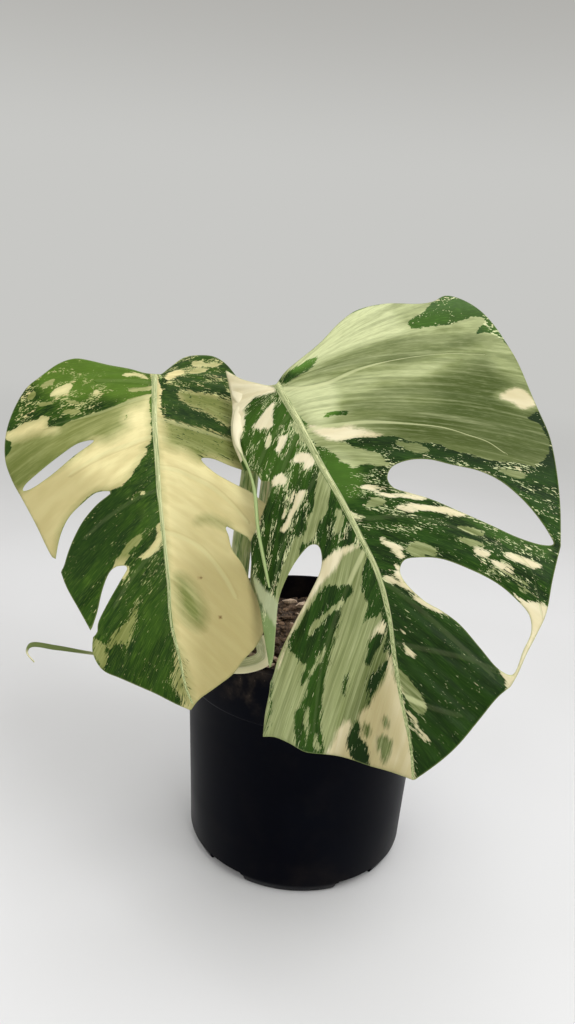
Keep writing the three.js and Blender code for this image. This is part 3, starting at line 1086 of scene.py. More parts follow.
    def surface(self, points: np.ndarray) -> np.ndarray:
        """The blade's middle surface.

        Args:
            points: places across and along.

        Returns:
            Their places in space.
        """
        across, along, normal, length = self.axes()
        s, t = points.T
        u = t / length
        hump = np.where(u < 0, u, u * (1 - u))
        x = s - 4 * self.bow * hump
        left, right = self.slope
        right_side = x > 0
        fan, bend, _ = by_half(self.veins, right_side)
        vein = (t - bend * x**2) / (1 + fan * np.abs(x))
        height = 4 * self.arch * hump + (right + left) / 2 * (np.hypot(x, self.ridge) - self.ridge)
        height += (right - left) / 2 * x
        height -= np.where(right_side, self.droop[1], self.droop[0]) * (np.abs(x) / 100) ** 3
        height -= np.where(t < 0, self.lean * (t / 60) ** 2, 0)
        wave, spacing = self.pleat
        height += wave * np.cos(2 * np.pi * vein / spacing) * np.minimum(np.abs(x) / 40, 1)
        place = np.array(self.stalk, float) + s[:, None] * across + t[:, None] * along
        return place + height[:, None] * normal

    def facing_out(self, points: np.ndarray) -> np.ndarray:
        """The direction that the blade faces.

        Args:
            points: places across and along.

        Returns:
            One direction for each place.
        """
        step = 0.3
        s = self.surface(points + (step, 0)) - self.surface(points - (step, 0))
        t = self.surface(points + (0, step)) - self.surface(points - (0, step))
        out = np.cross(t, s)
        return out / np.linalg.norm(out, axis=1)[:, None]

    def flow(self, points: np.ndarray) -> np.ndarray:
        """The place of each corner between and along the side veins, and its half of the leaf.

        Args:
            points: places across and along.

        Returns:
            Rows of vein place, distance from the midrib and half.
        """
        line = smooth_line(self.midrib)
        t = points[:, 1]
        x = points[:, 0] - np.interp(t, line[:, 1], line[:, 0])
        right = x > 0
        size = np.abs(x)
        fan, bend, rise = by_half(self.paint_veins, right)
        above = t - rise * size - bend * size**2
        turn = np.arctan2(t, size + 1e-6) - np.arctan(rise + bend * size)
        vein = np.where(above > 0, above / (1 + fan * size), 40 * turn)
        return np.stack([vein, x, np.where(right, self.lots[1], self.lots[0])], axis=1)

    def paint(self, points: np.ndarray, depth: np.ndarray) -> dict[str, np.ndarray]:
        """The numbers that the leaf's material reads.

        Args:
            points: places across and along.
            depth: how deep each lies inside the blade.

        Returns:
            Each number's name and its value at each place.
        """
        green = self.base is Tone.GREEN
        values = {
            "pale": np.full(len(points), -REACH if green else REACH),
            "cream": np.full(len(points), REACH if self.base is Tone.CREAM else -REACH),
            "edge": depth,
            "flow": self.flow(points),
        }
        for wash in Wash:
            values[wash.value] = np.zeros(len(points))
        values["fleck"] += 0.5
        for patch in self.patches:
            inside = near_depth(points, smooth_line(patch.ring, closed=True, spans=3))
            if patch.tone is Tone.GREEN:
                values["pale"] = np.minimum(values["pale"], -inside)
                continue
            values["pale"] = np.maximum(values["pale"], inside)
            if patch.tone is Tone.CREAM:
                values["cream"] = np.maximum(values["cream"], inside)
            else:
                values["cream"] = np.minimum(values["cream"], -inside)
        for tint in self.tints:
            inside = near_depth(points, smooth_line(tint.ring, closed=True, spans=3))
            share = ease(inside, -tint.soft, tint.soft)
            old = values[tint.wash.value]
            values[tint.wash.value] = old + share * (tint.value - old)
        values["spot"] = np.zeros(len(points))
        for s, t, size in self.spots:
            away = np.hypot(points[:, 0] - s, points[:, 1] - t)
            values["spot"] = np.maximum(values["spot"], ease(-away, -size, -0.4 * size))
        return values

    def relief(self, points: np.ndarray, values: dict[str, np.ndarray]) -> tuple[np.ndarray, np.ndarray]:
        """The small heights of the front and of the back over the middle surface.

        Args:
            points: places across and along.
            values: the painted numbers, to which the rib and the veins are added.

        Returns:
            The front heights and the back heights.
        """
        line = smooth_line(self.midrib)
        side = line_offset(points, line)
        rib = np.abs(side)
        width = np.interp(points[:, 1], [0, line[-1, 1]], self.rib_width)
        offset = np.full(len(points), np.inf)
        for places in self.side_veins:
            one = line_offset(points, smooth_line(places))
            offset = np.where(np.abs(one) < np.abs(offset), one, offset)
        veins = np.abs(offset)
        far = ease(rib, 15, 90)
        values["rib"] = rib / width
        values["side"] = np.clip(side / width, -FAR, FAR)
        values["vein"] = offset * (0.5 + 2.6 * far**2)
        values["vein_gate"] = veins
        values["down"] = ease(points[:, 1] / line[-1, 1], 0.4, 0.9)
        calm = np.clip(values["edge"] / 3, 0, 1)
        wide = width / 1.6
        valley = -0.9 * np.exp(-((rib / (3.2 * wide)) ** 2)) + 1.0 * np.exp(-((rib / width) ** 2))
        groove = -0.6 * np.exp(-((veins / 3.0) ** 2)) + 0.6 * np.exp(-((veins / 1.0) ** 2))
        groove *= ease(rib, 1, 4) * (1 - 0.75 * far)
        quilt = 0.22 * np.cos(2 * np.pi * values["flow"][:, 0] / 9) * ease(rib, 3, 12)
        front = (valley * wide + groove + quilt) * calm
        keel = 1.9 * wide * np.exp(-((rib / (1.2 * width)) ** 2)) + 0.5 * np.exp(-((veins / 1.2) ** 2))
        return front, keel * calm - quilt * calm

    def build(self, effects: Effects, finish: LeafFinish) -> bpy.types.Object:
        """Builds the blade's two skins and the rim between them, and dresses them.

        Args:
            effects: the shared effects.
            finish: the leaf's finish.

        Returns:
            The blade.
        """
        flat = self.cut()
        count = len(flat.points)
        values = self.paint(flat.points, flat.depth)
        front, back = self.relief(flat.points, values)
        half = np.maximum(self.half * np.sqrt(np.clip(flat.depth / 0.8, 0, 1)), 0.15)
        place, out = self.surface(flat.points), self.facing_out(flat.points)
        points = np.vstack([place + (front + half)[:, None] * out, place - (back + half)[:, None] * out])
        faces = flat.faces
        edges = np.vstack([faces[:, [0, 1]], faces[:, [1, 2]], faces[:, [2, 0]]])
        rows = np.sort(edges, axis=1)
        _, index, shared = np.unique(rows, axis=0, return_index=True, return_counts=True)
        rim = edges[index[shared == 1]]
        quads = np.stack([rim[:, 0], rim[:, 1], rim[:, 1] + count, rim[:, 0] + count], axis=1)
        skins = faces[:, ::-1].tolist() + (faces + count).tolist()
        piece = new_mesh(self.name, points, skins + quads.tolist())
        add_to_skins(piece, values)
        finish_piece(piece, finish.make(effects), self.node, (self.node,))
        return piece


RIGHT_PATCHES = (
    in_sage(7, -13, 16, -18, 33, -27, 50, -39, 63, -45, 80, -44, 97, -37, 107, -36, 117, -40, 129, -29,
        135, -15, 138, 4, 138, 25, 136, 47, 134, 70, 132, 87, 121, 97, 113, 100, 107, 97, 100, 93, 92, 89,
        83, 83, 77, 78, 72, 73, 66, 69, 59, 65, 53, 60, 42, 55, 35, 52, 28, 50, 21, 51, 12, 38, 10, 36,
        5, 20, 2, 5),
    in_green(3, -3, 9, -8, 18, -11, 29, -13.5, 27, -10, 21, -4, 12, -2, 6, 0),
    in_sage(8, 32, 14, 41, 22, 50, 29, 58, 35, 63, 39, 66, 41, 71, 43, 75, 37, 74, 31, 70, 24, 69, 20, 64,
        18, 60, 16, 55, 12, 51, 9, 45),
    in_cream(10, 34, 16, 38, 22, 41, 29, 43, 34, 47, 41, 52, 45, 56, 39, 55, 29, 52, 22, 51, 18, 48, 13, 41),
    in_green(20, -17, 34, -26, 47, -34.5, 62, -40.5, 79, -40.5, 80, -46, 60, -46, 40, -36, 18, -22),
    in_green(85, -18, 95, -22, 106, -30, 116, -38, 124, -38, 131, -26, 137, -10, 140, 0, 141, 15, 139, 24,
        134, 22, 133, 12, 128, 4, 120, 4, 126, -2, 131, -7, 124, -11, 113, -9, 105, -10, 97, -11, 89, -12,
        86, -15),
    in_cream(113, 54, 119, 51, 125, 51, 129, 55, 131, 60, 130, 64, 126, 64, 122, 65, 118, 58),
    in_green(122, 72, 129, 69, 134, 72, 133, 84, 127, 85, 126, 80, 126, 76),
    in_green(129, 80, 134, 84, 130, 100, 125, 104, 123, 98, 126, 90),
    in_sage(50, 62, 58, 66, 66, 74, 62, 74, 55, 70),
    in_sage(94, 95, 101, 98, 107, 104, 103, 105, 97, 101),
    in_cream(-4, 7, -4, 10, -8, 15, -10, 22, -19, 18, -21, 15, -16, 12, -9, 9),
    in_cream(-8, 31, -3, 33, -6, 37, -11, 40, -13, 37, -11, 35),
    in_cream(-14, 26, -12, 28, -16, 33, -18, 32),
    in_cream(-7, 49, -2, 47, 3, 48, 6, 53, 6, 57, -1, 58, 0, 54, -4, 51),
    in_cream(-14, 52, -12, 55, -11, 57, -14.5, 60, -17, 57.5, -20, 57, -21, 54, -17.5, 52),
    in_cream(-1, 1, -10, 0, -15, -2, -20, 0, -23, 2, -25, 10, -29, 14, -32, 20, -33, 30, -40, 30, -42, 0,
        -32, -20, -34, -40, -20, -24, -6, -8),
    in_sage(1, 27, 5, 32, 7, 42, 4, 44, 2, 36),
    in_green(19, 31.5, 25, 31.5, 32, 35, 31, 36.5, 25, 34, 20, 33.5),
    in_sage(8, 64, 9, 70, 9, 75, 7, 81.5, 4, 86.5, -2.5, 90, -7, 95, -11, 97.5, -14.5, 96.5, -15, 93.5,
        -11, 90, -8, 85.5, -3.5, 81, -0.5, 75.5, 3, 69.5, 6.5, 63),
    in_cream(-4.5, 68.7, -4.2, 71.3, -8, 74.7, -11.5, 77.7, -15.8, 80, -19, 84, -21.7, 85, -25.4, 84.5,
        -23.8, 82, -19.8, 79.5, -16, 75.2, -12.7, 72.3, -8.2, 68.3),
    in_cream(-9.5, 66, -12, 66.5, -15, 70, -14, 72, -11, 69),
    in_cream(-18, 74.5, -21, 77, -20.5, 78.5, -18, 76.5),
    in_cream(-33, 70, -36, 72, -39, 76, -37, 76, -34, 73),
    in_sage(9.4, 88, 10.5, 93, 10, 97, 8, 99.7, 4.5, 101, 3.6, 99, 6, 94, 7.5, 90),
    in_sage(-16, 91, -21, 95, -28, 101, -33, 107, -37, 113, -40, 120, -36, 120, -30, 112, -25, 106, -20, 103,
        -17, 98, -13, 95),
    in_sage(13, 112, 15, 130, 13, 150, 10, 172, 6, 192, 2, 213, 0, 232, -9, 225, -26, 213, -47, 202,
        -61, 189, -72, 184, -60, 160, -48, 146, -37, 136, -20, 122, -9, 113, 0, 109),
    in_cream(12, 112, 2, 109, -3.5, 110, -10.5, 112.5, -20, 121, -30, 130, -40, 142, -48, 152, -44, 148,
        -37, 139.5, -29, 132.6, -24, 129.7, -20, 126.4, -15.3, 124, -9.5, 121, -2.3, 117.7, 4, 113),
    in_green(-9, 124, -4, 127, 2, 129, 2, 133, -2, 135, -5, 137, -8, 142, -10, 145, -14, 150, -19, 157,
        -23, 163, -26, 167, -29, 174, -32, 181, -35, 187, -37, 196, -39, 202, -51, 195, -49, 185, -46, 177,
        -42, 175, -38, 171, -35, 166, -33, 163, -39, 166, -36, 161, -33, 157, -36, 154, -37, 150, -39, 147,
        -39, 142, -35, 138, -31, 137, -27, 134, -22, 130, -16, 127),
    in_sage(-27, 143, -25, 141, -20, 138, -15, 137, -10, 135, -6, 134, -3, 135, -6, 137, -10, 138, -14, 139,
        -17, 140, -20, 142, -24, 143, -26, 144),
    in_sage(-19, 152, -22, 156, -27, 160, -30, 162, -34, 164, -32, 161, -28, 158, -24, 155, -21, 153),
    in_sage(-39, 176, -40, 183, -44, 192, -46, 193, -44, 187, -43, 181, -41, 177),
    in_sage(-39, 191, -39, 195, -39, 199, -42, 199, -42, 195),
    in_green(-53, 154, -55, 160, -59, 170, -64, 180, -66, 182, -60, 172, -56, 161, -54, 154),
    in_green(15, 119, 16, 129, 16, 138, 15, 145, 12, 148, 10, 150, 5, 149, 3, 151, 4, 147, 7, 144, 7, 137,
        7, 133, 9, 129, 10, 125, 12, 123),
    in_green(10, 160, 8, 163, 4, 166, 0, 169, -2, 171, -3, 168, -1, 165, 1, 161, 5, 159, 9, 158),
    in_green(11, 162, 9, 168, 7, 168, 8, 166),
    in_cream(9, 169, 9, 173, 9, 180, 8, 190, 7, 196, 6, 205, 4, 213, -1, 230, -8, 224, -18, 218, -16, 208,
        -18, 200, -16, 197, -16, 193, -13, 190, -9, 189, -4, 185, 0, 182, 4, 179, 6, 175),
    in_sage(-10, 205, -7, 204, -4, 207, -5, 211, -8, 215, -11, 217, -11, 212, -11, 208),
    in_sage(-13, 195, -12, 199, -14, 202, -16, 201),
    in_sage(-3, 196, -2, 200, -4, 202, -5, 199),
    in_cream(-22, 191, -20, 194, -23, 198, -25, 202, -25, 210, -31, 208, -38, 204, -34, 200, -30, 197,
        -28, 194, -24, 192),
    in_cream(13, 152, 10, 159, 7, 158, 3, 159, 6, 156, 9, 154),
    in_green(7, 172, 6, 175, 2, 179, -2, 182, -4, 184, -7, 186, -9, 189, -8, 186, -7, 182, -5, 178, -3, 176,
        -1, 175, 1, 175, 5, 172),
    in_green(14, 146, 12.5, 158, 9.5, 171, 8.5, 170, 11, 158, 12.5, 147),
    in_green(-13, 171, -16, 175, -19, 180, -18, 176, -15, 171),
    in_green(-17, 194, -16, 197, -18, 200, -17, 204, -16, 208, -19, 216, -22, 214, -24, 211, -25, 207,
        -25, 202, -22, 197, -19, 195),
    in_sage(9.5, 176, 12, 180, 15.3, 187, 16.5, 193, 17, 199.5, 14.6, 202, 11, 197.6, 9.5, 192, 8.5, 186,
        7.5, 180),
    in_cream(17, 169, 19, 171, 20.5, 175, 19.5, 176, 17, 172),
    in_cream(16, 159.5, 18, 160, 20, 163, 18, 162.5),
    in_cream(56, 192, 59, 192, 59, 199, 57, 199),
    in_cream(7.5, 196, 9, 198, 11, 206, 10, 206),
    in_cream(6.5, 203, 8, 204, 13, 214, 11.5, 214),
    in_cream(27, 129, 25, 134, 25.3, 139, 28, 143.5, 30, 148.5, 33, 153.5, 37, 157.5, 41, 160, 40, 157,
        35, 151, 30, 142, 28.5, 136, 28.5, 131),
    in_cream(23, 112.7, 25, 112.5, 27.3, 114.8, 31, 119, 32.8, 122.5, 33, 126, 30, 127.5, 28.5, 123.5,
        26, 118),
    in_sage(36.5, 121, 41, 121, 45.4, 124, 49.5, 131, 42, 129.5, 36, 128, 35, 124),
    in_cream(32, 88.5, 36, 90, 41.7, 92, 48, 95, 56, 100.5, 50, 99.5, 41, 95, 35, 93),
    in_sage(25, 91, 31, 91.5, 33, 93.5, 33, 96, 28, 96, 23, 94),
    in_cream(37.6, 99.5, 43, 99.5, 48.5, 101.5, 53, 104, 60, 107, 65, 110.5, 70, 115.5, 66, 115, 60, 111.5,
        52.6, 107.5, 47, 105.6, 42, 103),
    in_sage(63, 120, 67, 120.5, 70, 123, 75, 128.5, 70, 127.5, 66, 124.5),
    in_sage(61, 125.5, 65, 128, 72, 134, 69, 133.5, 64, 130),
    in_cream(66, 134.5, 70, 135, 74, 139, 70, 140, 67, 138),
    in_cream(79, 141, 84, 142, 88.5, 146, 92, 148.5, 95, 152.5, 91, 152.5, 88, 150.5, 82, 146),
    in_cream(72, 142.5, 76, 143.5, 80, 147.5, 81, 151, 76, 149, 73, 146),
    in_sage(64, 145.5, 71, 150, 77, 157, 80, 164, 86, 165, 86, 160, 81, 153, 77, 149, 70, 146),
    in_cream(74, 158, 79, 163, 84, 166.5, 89, 171, 92, 176, 84, 186, 66, 201, 57, 206, 57, 197, 67, 188,
        75, 178, 76, 168),
    in_cream(24.5, 81, 28.5, 82, 32, 85, 36, 88.5, 31, 88, 27, 85),
    in_cream(12.5, 90, 15, 93, 18, 96.5, 21, 98.5, 19, 99.5, 15, 97, 12.5, 93),
    in_cream(19, 132.5, 23, 133, 25.5, 136.5, 23, 137.5, 19.5, 135),
)

# The shaded tints are partly painted light and shade: they lighten the parts of the blade that face the
# lights, such as the top of the basal lobe, and darken those that turn away, such as its lower right; they
# also carry the leaf's own lighter and darker tones.
RIGHT_TINTS = (
    shaded(0.6, 7, 2, 0, 14, 4, 40, 9, 64, 15, 80, 17, 98, 17, 100, 23, 84, 27, 60, 27, 40, 27, 30, 33,
        20, 40, 8, 38),
    shaded(-0.75, 8, 52, 28, 76, 29, 104, 27, 132, 22, 136, 60, 60, 60, 52, 40),
    shaded(-0.6, 5, 62, 2, 84, 3, 110, 4, 136, 4, 132, 15, 100, 13, 80, 13, 64, 11),
    shaded(-1.0, 20, 44, 46, 70, 38, 132, 36, 134, 108, 100, 98, 72, 80, 44, 60),
    shaded(-0.5, 12, 30, 28, 70, 28, 80, 46, 40, 44),
    # Painted shadow in a band beside the first side vein of the basal lobe, on its stalk side.
    shaded(-0.45, 6, 20, 4, 24, -3, 50, -8, 96, -4, 100, 8, 66, 6, 40, 5),
    shaded(1.0, 5, 10, -9, 33, -26, 50, -38, 63, -44, 84, -43, 92, -12, 75, -10, 50, -10, 30, -8, 14, -5),
    shaded(1.0, 4, 3, 2, 14, 5, 30, 10, 26, 32, 14, 36, 8, 28),
    shaded(-0.1, 6, 118, 10, 132, 6, 140, 50, 126, 50),
    shaded(0.55, 5, 10, 50, 24, 60, 26, 84, 12, 86),
    shaded(0.35, 8, -30, 5, 0, 5, 6, 60, -30, 60),
    shaded(0.35, 5, 84, -40, 128, -40, 142, -8, 142, 22, 126, 6, 112, -8, 86, -10),
    shaded(-0.35, 2, 111, 51, 122, 49, 133, 55, 132, 66, 122, 67, 114, 58),
    flecked(1.0, 5, -54, 50, -14, 50, -4, 98, -36, 124, -54, 124),
    flecked(0.85, 5, 24, 66, 90, 84, 120, 104, 108, 146, 72, 160, 60, 120, 24, 110),
    flecked(0.95, 5, -32, 5, 2, 3, 6, 60, -14, 62, -34, 44),
    flecked(1.0, 3, -3, 96, 14, 95, 16, 112, -2, 112),
    flecked(0.9, 3, 15, 98, 28, 98, 44, 106, 42, 122, 26, 116),
    flecked(0.9, 4, 110, -34, 134, -30, 140, 22, 130, 22),
    streaked(1.0, 4, 64, 144, 78, 150, 88, 162, 82, 168, 70, 156),
    shaded(0.25, 4, 60, 106, 84, 122, 104, 144, 98, 150, 78, 132),
    underside(0.35, 2, -56, 112, -46, 118, -36, 118, -44, 138, -54, 160, -58, 150),
    underside(0.95, 0.5, -47, 99, -44, 106, -42, 111, -39, 116, -38, 122, -41, 130, -42, 132, -44, 128,
        -46, 120, -48, 112, -49, 104),
    streaked(0.35, 4, -70, 184, -50, 150, -20, 140, 8, 150, -4, 182, -20, 216),
    shaded(-0.9, 8, 12, 160, 6, 192, 2, 232, -40, 210, -40, 186, -14, 176),
    shaded(0.12, 10, -70, 186, -56, 160, -34, 150, 0, 150, -20, 190, -40, 204),
    shaded(1.0, 3, -56, 116, -46, 122, -40, 120, -46, 140, -56, 158, -58, 150),
    shaded(-0.6, 3, -10, 205, -4, 208, -4, 218, -9, 217),
    shaded(-0.5, 12, 18, 140, 60, 200, 0, 226, 6, 190),
)


@dataclass
class RightLeaf(LeafBlade):
    """The larger leaf in front, half green and half pale."""

    name: str = "leaf_right_blade"
    node: str = "leaf_right"
    stalk: Triple = (-29.9, -32, 317.8)
    tip: Triple = (47.9, -172, 157.2)
    arch: float = 11.0
    bow: float = 17.0
    slope: Pair = (-0.5, -0.06)
    droop: Pair = (2, 4.5)
    veins: Halves = (Veins(0.012, 0.0025), Veins(0.0075, 0.0025))
    paint_veins: Halves = (Veins(0.005, 0.0025, 0.8), Veins(0.0075, 0.0025))
    pleat: Pair = (0.8, 30)
    rib_width: Pair = (2.4, 0.7)
    base: Tone = Tone.GREEN
    runs: tuple[Ring, ...] = (
        ring(0, -3, 7, -9, 16, -14, 33, -23, 50, -35, 63, -41, 80, -40, 97, -33, 107, -32, 117, -36,
            125, -29, 131, -15, 134, 4, 134, 25, 132, 47, 130, 70, 128, 87, 123, 107, 116, 126, 108, 145),
        ring(108, 145, 97, 160, 88, 174, 80, 182, 71, 190, 64, 197, 58, 202),
        ring(58, 202, 50, 205, 38, 212, 26, 219, 14, 224, 0, 228),
        ring(0, 228, -9, 221, -18, 215, -26, 209, -34, 204, -47, 198, -54, 191, -61, 185, -68, 182),
        ring(-68, 182, -63, 171, -57, 161, -54, 153),
        ring(-54, 153, -52, 138, -49, 118, -48, 99, -45, 86),
        ring(-45, 86, -39, 65, -34, 44),
        ring(-34, 44, -35, 30, -36, 17, -34, 6, -30, -4, -28, -19, -27, -33),
        ring(-27, -33, -19, -20, -11, -11, -5, -5, 0, -3),
    )
    slots: tuple[Ring, ...] = (
        ring(39, 82, 43, 77, 53, 76, 63, 79, 73, 86, 85, 94, 93, 103, 99, 115, 103, 127, 105, 137, 105, 143,
            100, 142, 90, 135, 79, 124, 67, 112, 56, 101, 47, 94, 40, 88),
        ring(28, 138, 28, 132, 32, 128, 39, 129, 49, 133, 61, 143, 71, 154, 77, 165, 79.5, 173, 77, 181,
            70, 188, 61, 197, 56, 193, 51, 180, 46, 167, 40, 158, 34, 151),
        ring(-7, 102, -11, 99, -21, 103, -31, 111, -37, 118, -45, 135, -50, 146, -56, 154, -57, 158,
            -53, 155, -47, 147, -35, 136, -19, 123, -9, 113),
        ring(-21, 54, -26, 50, -28, 43, -36, 38, -52, 60, -50, 84, -44, 80, -38, 74, -28, 64),
    )
    midrib: Ring = ring(0, -3, 5, 31, 8, 58, 12, 83, 15, 108, 17, 130, 15, 152, 11, 171, 7, 192, 4, 213,
        0, 227)
    side_veins: tuple[Ring, ...] = (
        ring(0, 0, 12, 7, 26, 10, 45, 8, 66, 9, 96, 14, 118, 22),
        ring(9, 36, 23, 40, 40, 45, 60, 54, 77, 63, 88, 72, 96, 79, 102, 88),
        ring(13, 92, 20, 99, 45, 108, 70, 128, 88, 150, 85, 175),
        ring(16, 130, 28, 150, 40, 172, 52, 195),
        ring(12, 165, 45, 185, 60, 197),
        ring(8, 190, 18, 199, 30, 207),
        ring(3, 20, -15, 30, -30, 45),
        ring(5, 32, -4, 41, -12, 50),
        ring(10, 60, -5, 72, -20, 85, -38, 110),
        ring(15, 115, -5, 135, -25, 160, -40, 190),
    )
    spots: Triples = ((86, 58, 0.9), (103, 22, 0.8))
    patches: tuple[Patch, ...] = RIGHT_PATCHES
    tints: tuple[Tint, ...] = RIGHT_TINTS


LEFT_PATCHES = (
    in_cream(-1, -10, 60, -30, 66, 40, 66, 110, 50, 112, 48, 175, -4, 202, -5.5, 186, -6, 168, -6, 150,
        -5.5, 128, -5.5, 106, -5, 82, -4, 57, -3, 31, -1, 10),
    in_cream(0, 10, -5, 14, -12, 18, -17, 22, -19, 28, -23, 33, -28, 35, -33, 37, -38, 40, -60, 54, -82, 62,
        -86, 64, -78, 90, -70, 106, -64, 118, -60, 94, -47, 78, -39, 73, -31.5, 73.5, -26.5, 72, -20.5, 67,
        -16, 61.5, -11, 54, -8.5, 51, -10, 49, -7, 46.5, -6.5, 44.5, -6, 44, -5, 30, -4, 12),
    in_sage(-1, 11, -7, 12, -15, 14, -23, 17, -31, 20, -39, 21, -46, 23, -52, 24, -58, 26, -64, 25, -66, 22,
        -63, 20, -67, 17, -70, 19, -75, 19, -79, 20, -83, 22, -92, 25, -96, 39, -90, 56, -84, 64, -78, 63,
        -69, 55, -55, 44, -40, 40, -30, 42, -23, 38, -18, 34, -20, 28, -16, 22, -9, 20, -4, 13),
    in_cream(-92, 23, -85, 23, -80, 21, -75, 20, -69, 19, -66, 19, -64, 22, -65, 25, -60, 28, -67, 28,
        -73, 28, -78, 29, -83, 29, -94, 28),
    in_green(-94, 28, -86, 30, -86, 34, -88, 38, -93, 41),
    in_cream(-19, -4, -15, -5, -10, -4, -6, -2, -4, 1, -7, 0, -12, -2, -17, -2),
    in_cream(-62, 4, -60, 0, -56, -2, -52, -3, -49, -2, -49, 1, -52, 4, -56, 5),
    in_sage(-68, -6, -63, -8, -59, -9, -61, -5, -66, -3),
    in_sage(-71, 8, -65, 8, -60, 10, -65, 11),
    in_sage(-54, 9, -47, 11, -44, 13, -50, 12),
    in_cream(-37, 7, -35, 5, -33, 7, -35, 9),
    in_sage(-16, 7, -8, 7, -3, 6, -3, 9, -10, 10, -15, 9),
    in_sage(-56, 17, -52, 16, -44, 18, -47, 20, -52, 19),
    in_sage(-76, 2, -72, -2, -71, 1, -74, 4),
    in_cream(-6, 96, -8, 98, -9, 104, -13, 109, -17, 112, -20, 114, -15, 115, -10, 112, -7, 108, -6, 102),
    in_sage(-12, 99, -17, 101, -23, 104, -28, 110, -33, 117, -29, 118, -26, 114, -22, 110, -18, 106,
        -14, 102),
    in_cream(-34, 118, -30, 115.5, -26, 117, -25, 120, -27, 124, -29, 126, -31, 120),
    in_green(-17, 103, -12, 100, -11, 102, -14, 105, -18, 106),
    in_green(-25, 112, -21, 107, -20, 108, -23, 112),
    in_cream(-13, 76, -15, 76, -15, 78, -13, 78),
    in_cream(-18.5, 79, -20.5, 79, -20, 80.5),
    in_sage(-21, 136, -25, 141, -29.5, 148, -36, 152, -39.5, 156.5, -40.5, 160, -38, 159.5, -34, 157.5,
        -31, 159, -30.5, 162, -28.5, 159, -26.5, 153.5, -23.5, 147.5, -23, 143, -21.5, 138),
    in_sage(-47, 154, -43, 156, -41, 164, -43, 170, -47, 166),
    in_sage(-5, 164, -8, 172, -10, 180, -9, 186, -4, 192, -1, 195, -1, 188, -2, 178, -3, 170),
    in_green(1, -14, 30, -30, 62, -24, 66, 40, 66, 58, 50, 47, 44, 41, 36, 38, 28, 35, 18, 33, 10, 31, 3, 29,
        2, 21, 3, 9, 2, 0),
    in_sage(11, 10, 16, 7, 24, 8, 34, 8, 43, 11, 62, 14, 64, 38, 47, 30, 41, 34, 35, 30, 29, 26, 23, 23,
        16, 20, 12, 15),
    in_cream(6, 0, 9, -4, 14, -7, 18, -7, 17, -4, 12, -1, 7, 2),
    in_sage(23, -14, 29, -17, 34, -16, 39, -18, 41, -16, 35, -13, 30, -13, 25, -12),
    in_sage(21, -6, 26, -10, 33, -11, 30, -8, 24, -5),
    in_sage(3, 29, 10, 31, 18, 33, 28, 35, 36, 38, 44, 41, 50, 47, 66, 58, 64, 70, 43, 60, 32, 56, 23, 55,
        21, 58, 16, 55, 11, 51, 7, 51, 2, 48, 1, 40),
    in_sage(-1, 126, 4, 128, 9, 137, 12, 147, 9, 155, 3, 152, -1, 145, -2, 136),
    # Painted shadow: a thin line where the upper lobe overlaps the lower one.
    in_sage(15, 95.5, 20, 93.4, 27, 95.4, 31, 98, 31, 99.4, 26, 97, 20, 94.9),
)

# The shaded tints are partly painted light and shade, lightening the top of the leaf and darkening its lower
# parts, and partly the leaf's own lighter and darker tones.
LEFT_TINTS = (
    flecked(1.0, 6, -86, -8, -59, -18, -38, -6, -24, 8, -39, 19, -68, 20, -86, 18),
    flecked(0.7, 4, -32, 128, -8, 114, -6, 128, -26, 142),
    flecked(1.0, 3, 4, -24, 58, -28, 58, 8, 4, 8),
    shaded(-0.45, 5, 8, 6, 64, 6, 66, 66, 40, 60, 16, 52, 10, 34),
    shaded(0.7, 6, -22, 18, -4, 12, -4, 26, -14, 38, -34, 42, -24, 30),
    shaded(0.6, 5, -26, 2, -4, 0, -4, 11, -26, 13),
    shaded(-0.5, 8, -92, 34, -70, 34, -62, 52, -84, 66),
    shaded(-0.65, 8, -92, 52, -52, 54, -48, 82, -56, 112, -76, 108),
    shaded(0.15, 5, -40, 90, -16, 82, -14, 92, -40, 98),
    shaded(-0.6, 8, -60, 58, -24, 76, -30, 112, -66, 112),
    streaked(0.4, 4, -50, 148, -22, 134, -20, 150, -40, 176, -50, 170),
    streaked(0.5, 1, -1, 127, 4, 130, 9, 138, 11, 147, 8, 153, 2, 150, -2, 136),
    # Painted shade on the corner of the lower lobe that lies under the upper lobe.
    shaded(-1.3, 1.5, 17, 96, 24, 97, 31, 100, 32, 108, 29, 114, 22, 107, 17, 102),
    streaked(0.8, 3, -12, 162, -2, 162, 0, 196, -10, 190),
    streaked(0.7, 5, 6, 6, 52, 0, 56, 60, 4, 48),
    shaded(-0.85, 14, 6, 108, 48, 118, 48, 170, -1, 200, 0, 150),
    shaded(-0.25, 10, 2, 62, 50, 80, 46, 98, 2, 92),
    shaded(-0.5, 10, 2, 92, 46, 90, 40, 112, 4, 112),
    shaded(0.5, 6, -74, -26, -20, -22, -6, -6, -10, 5, -60, 8),
    shaded(-0.2, 3, 1, 130, 5, 132, 9, 140, 10, 147, 7, 151, 3, 148, 1, 142),
)


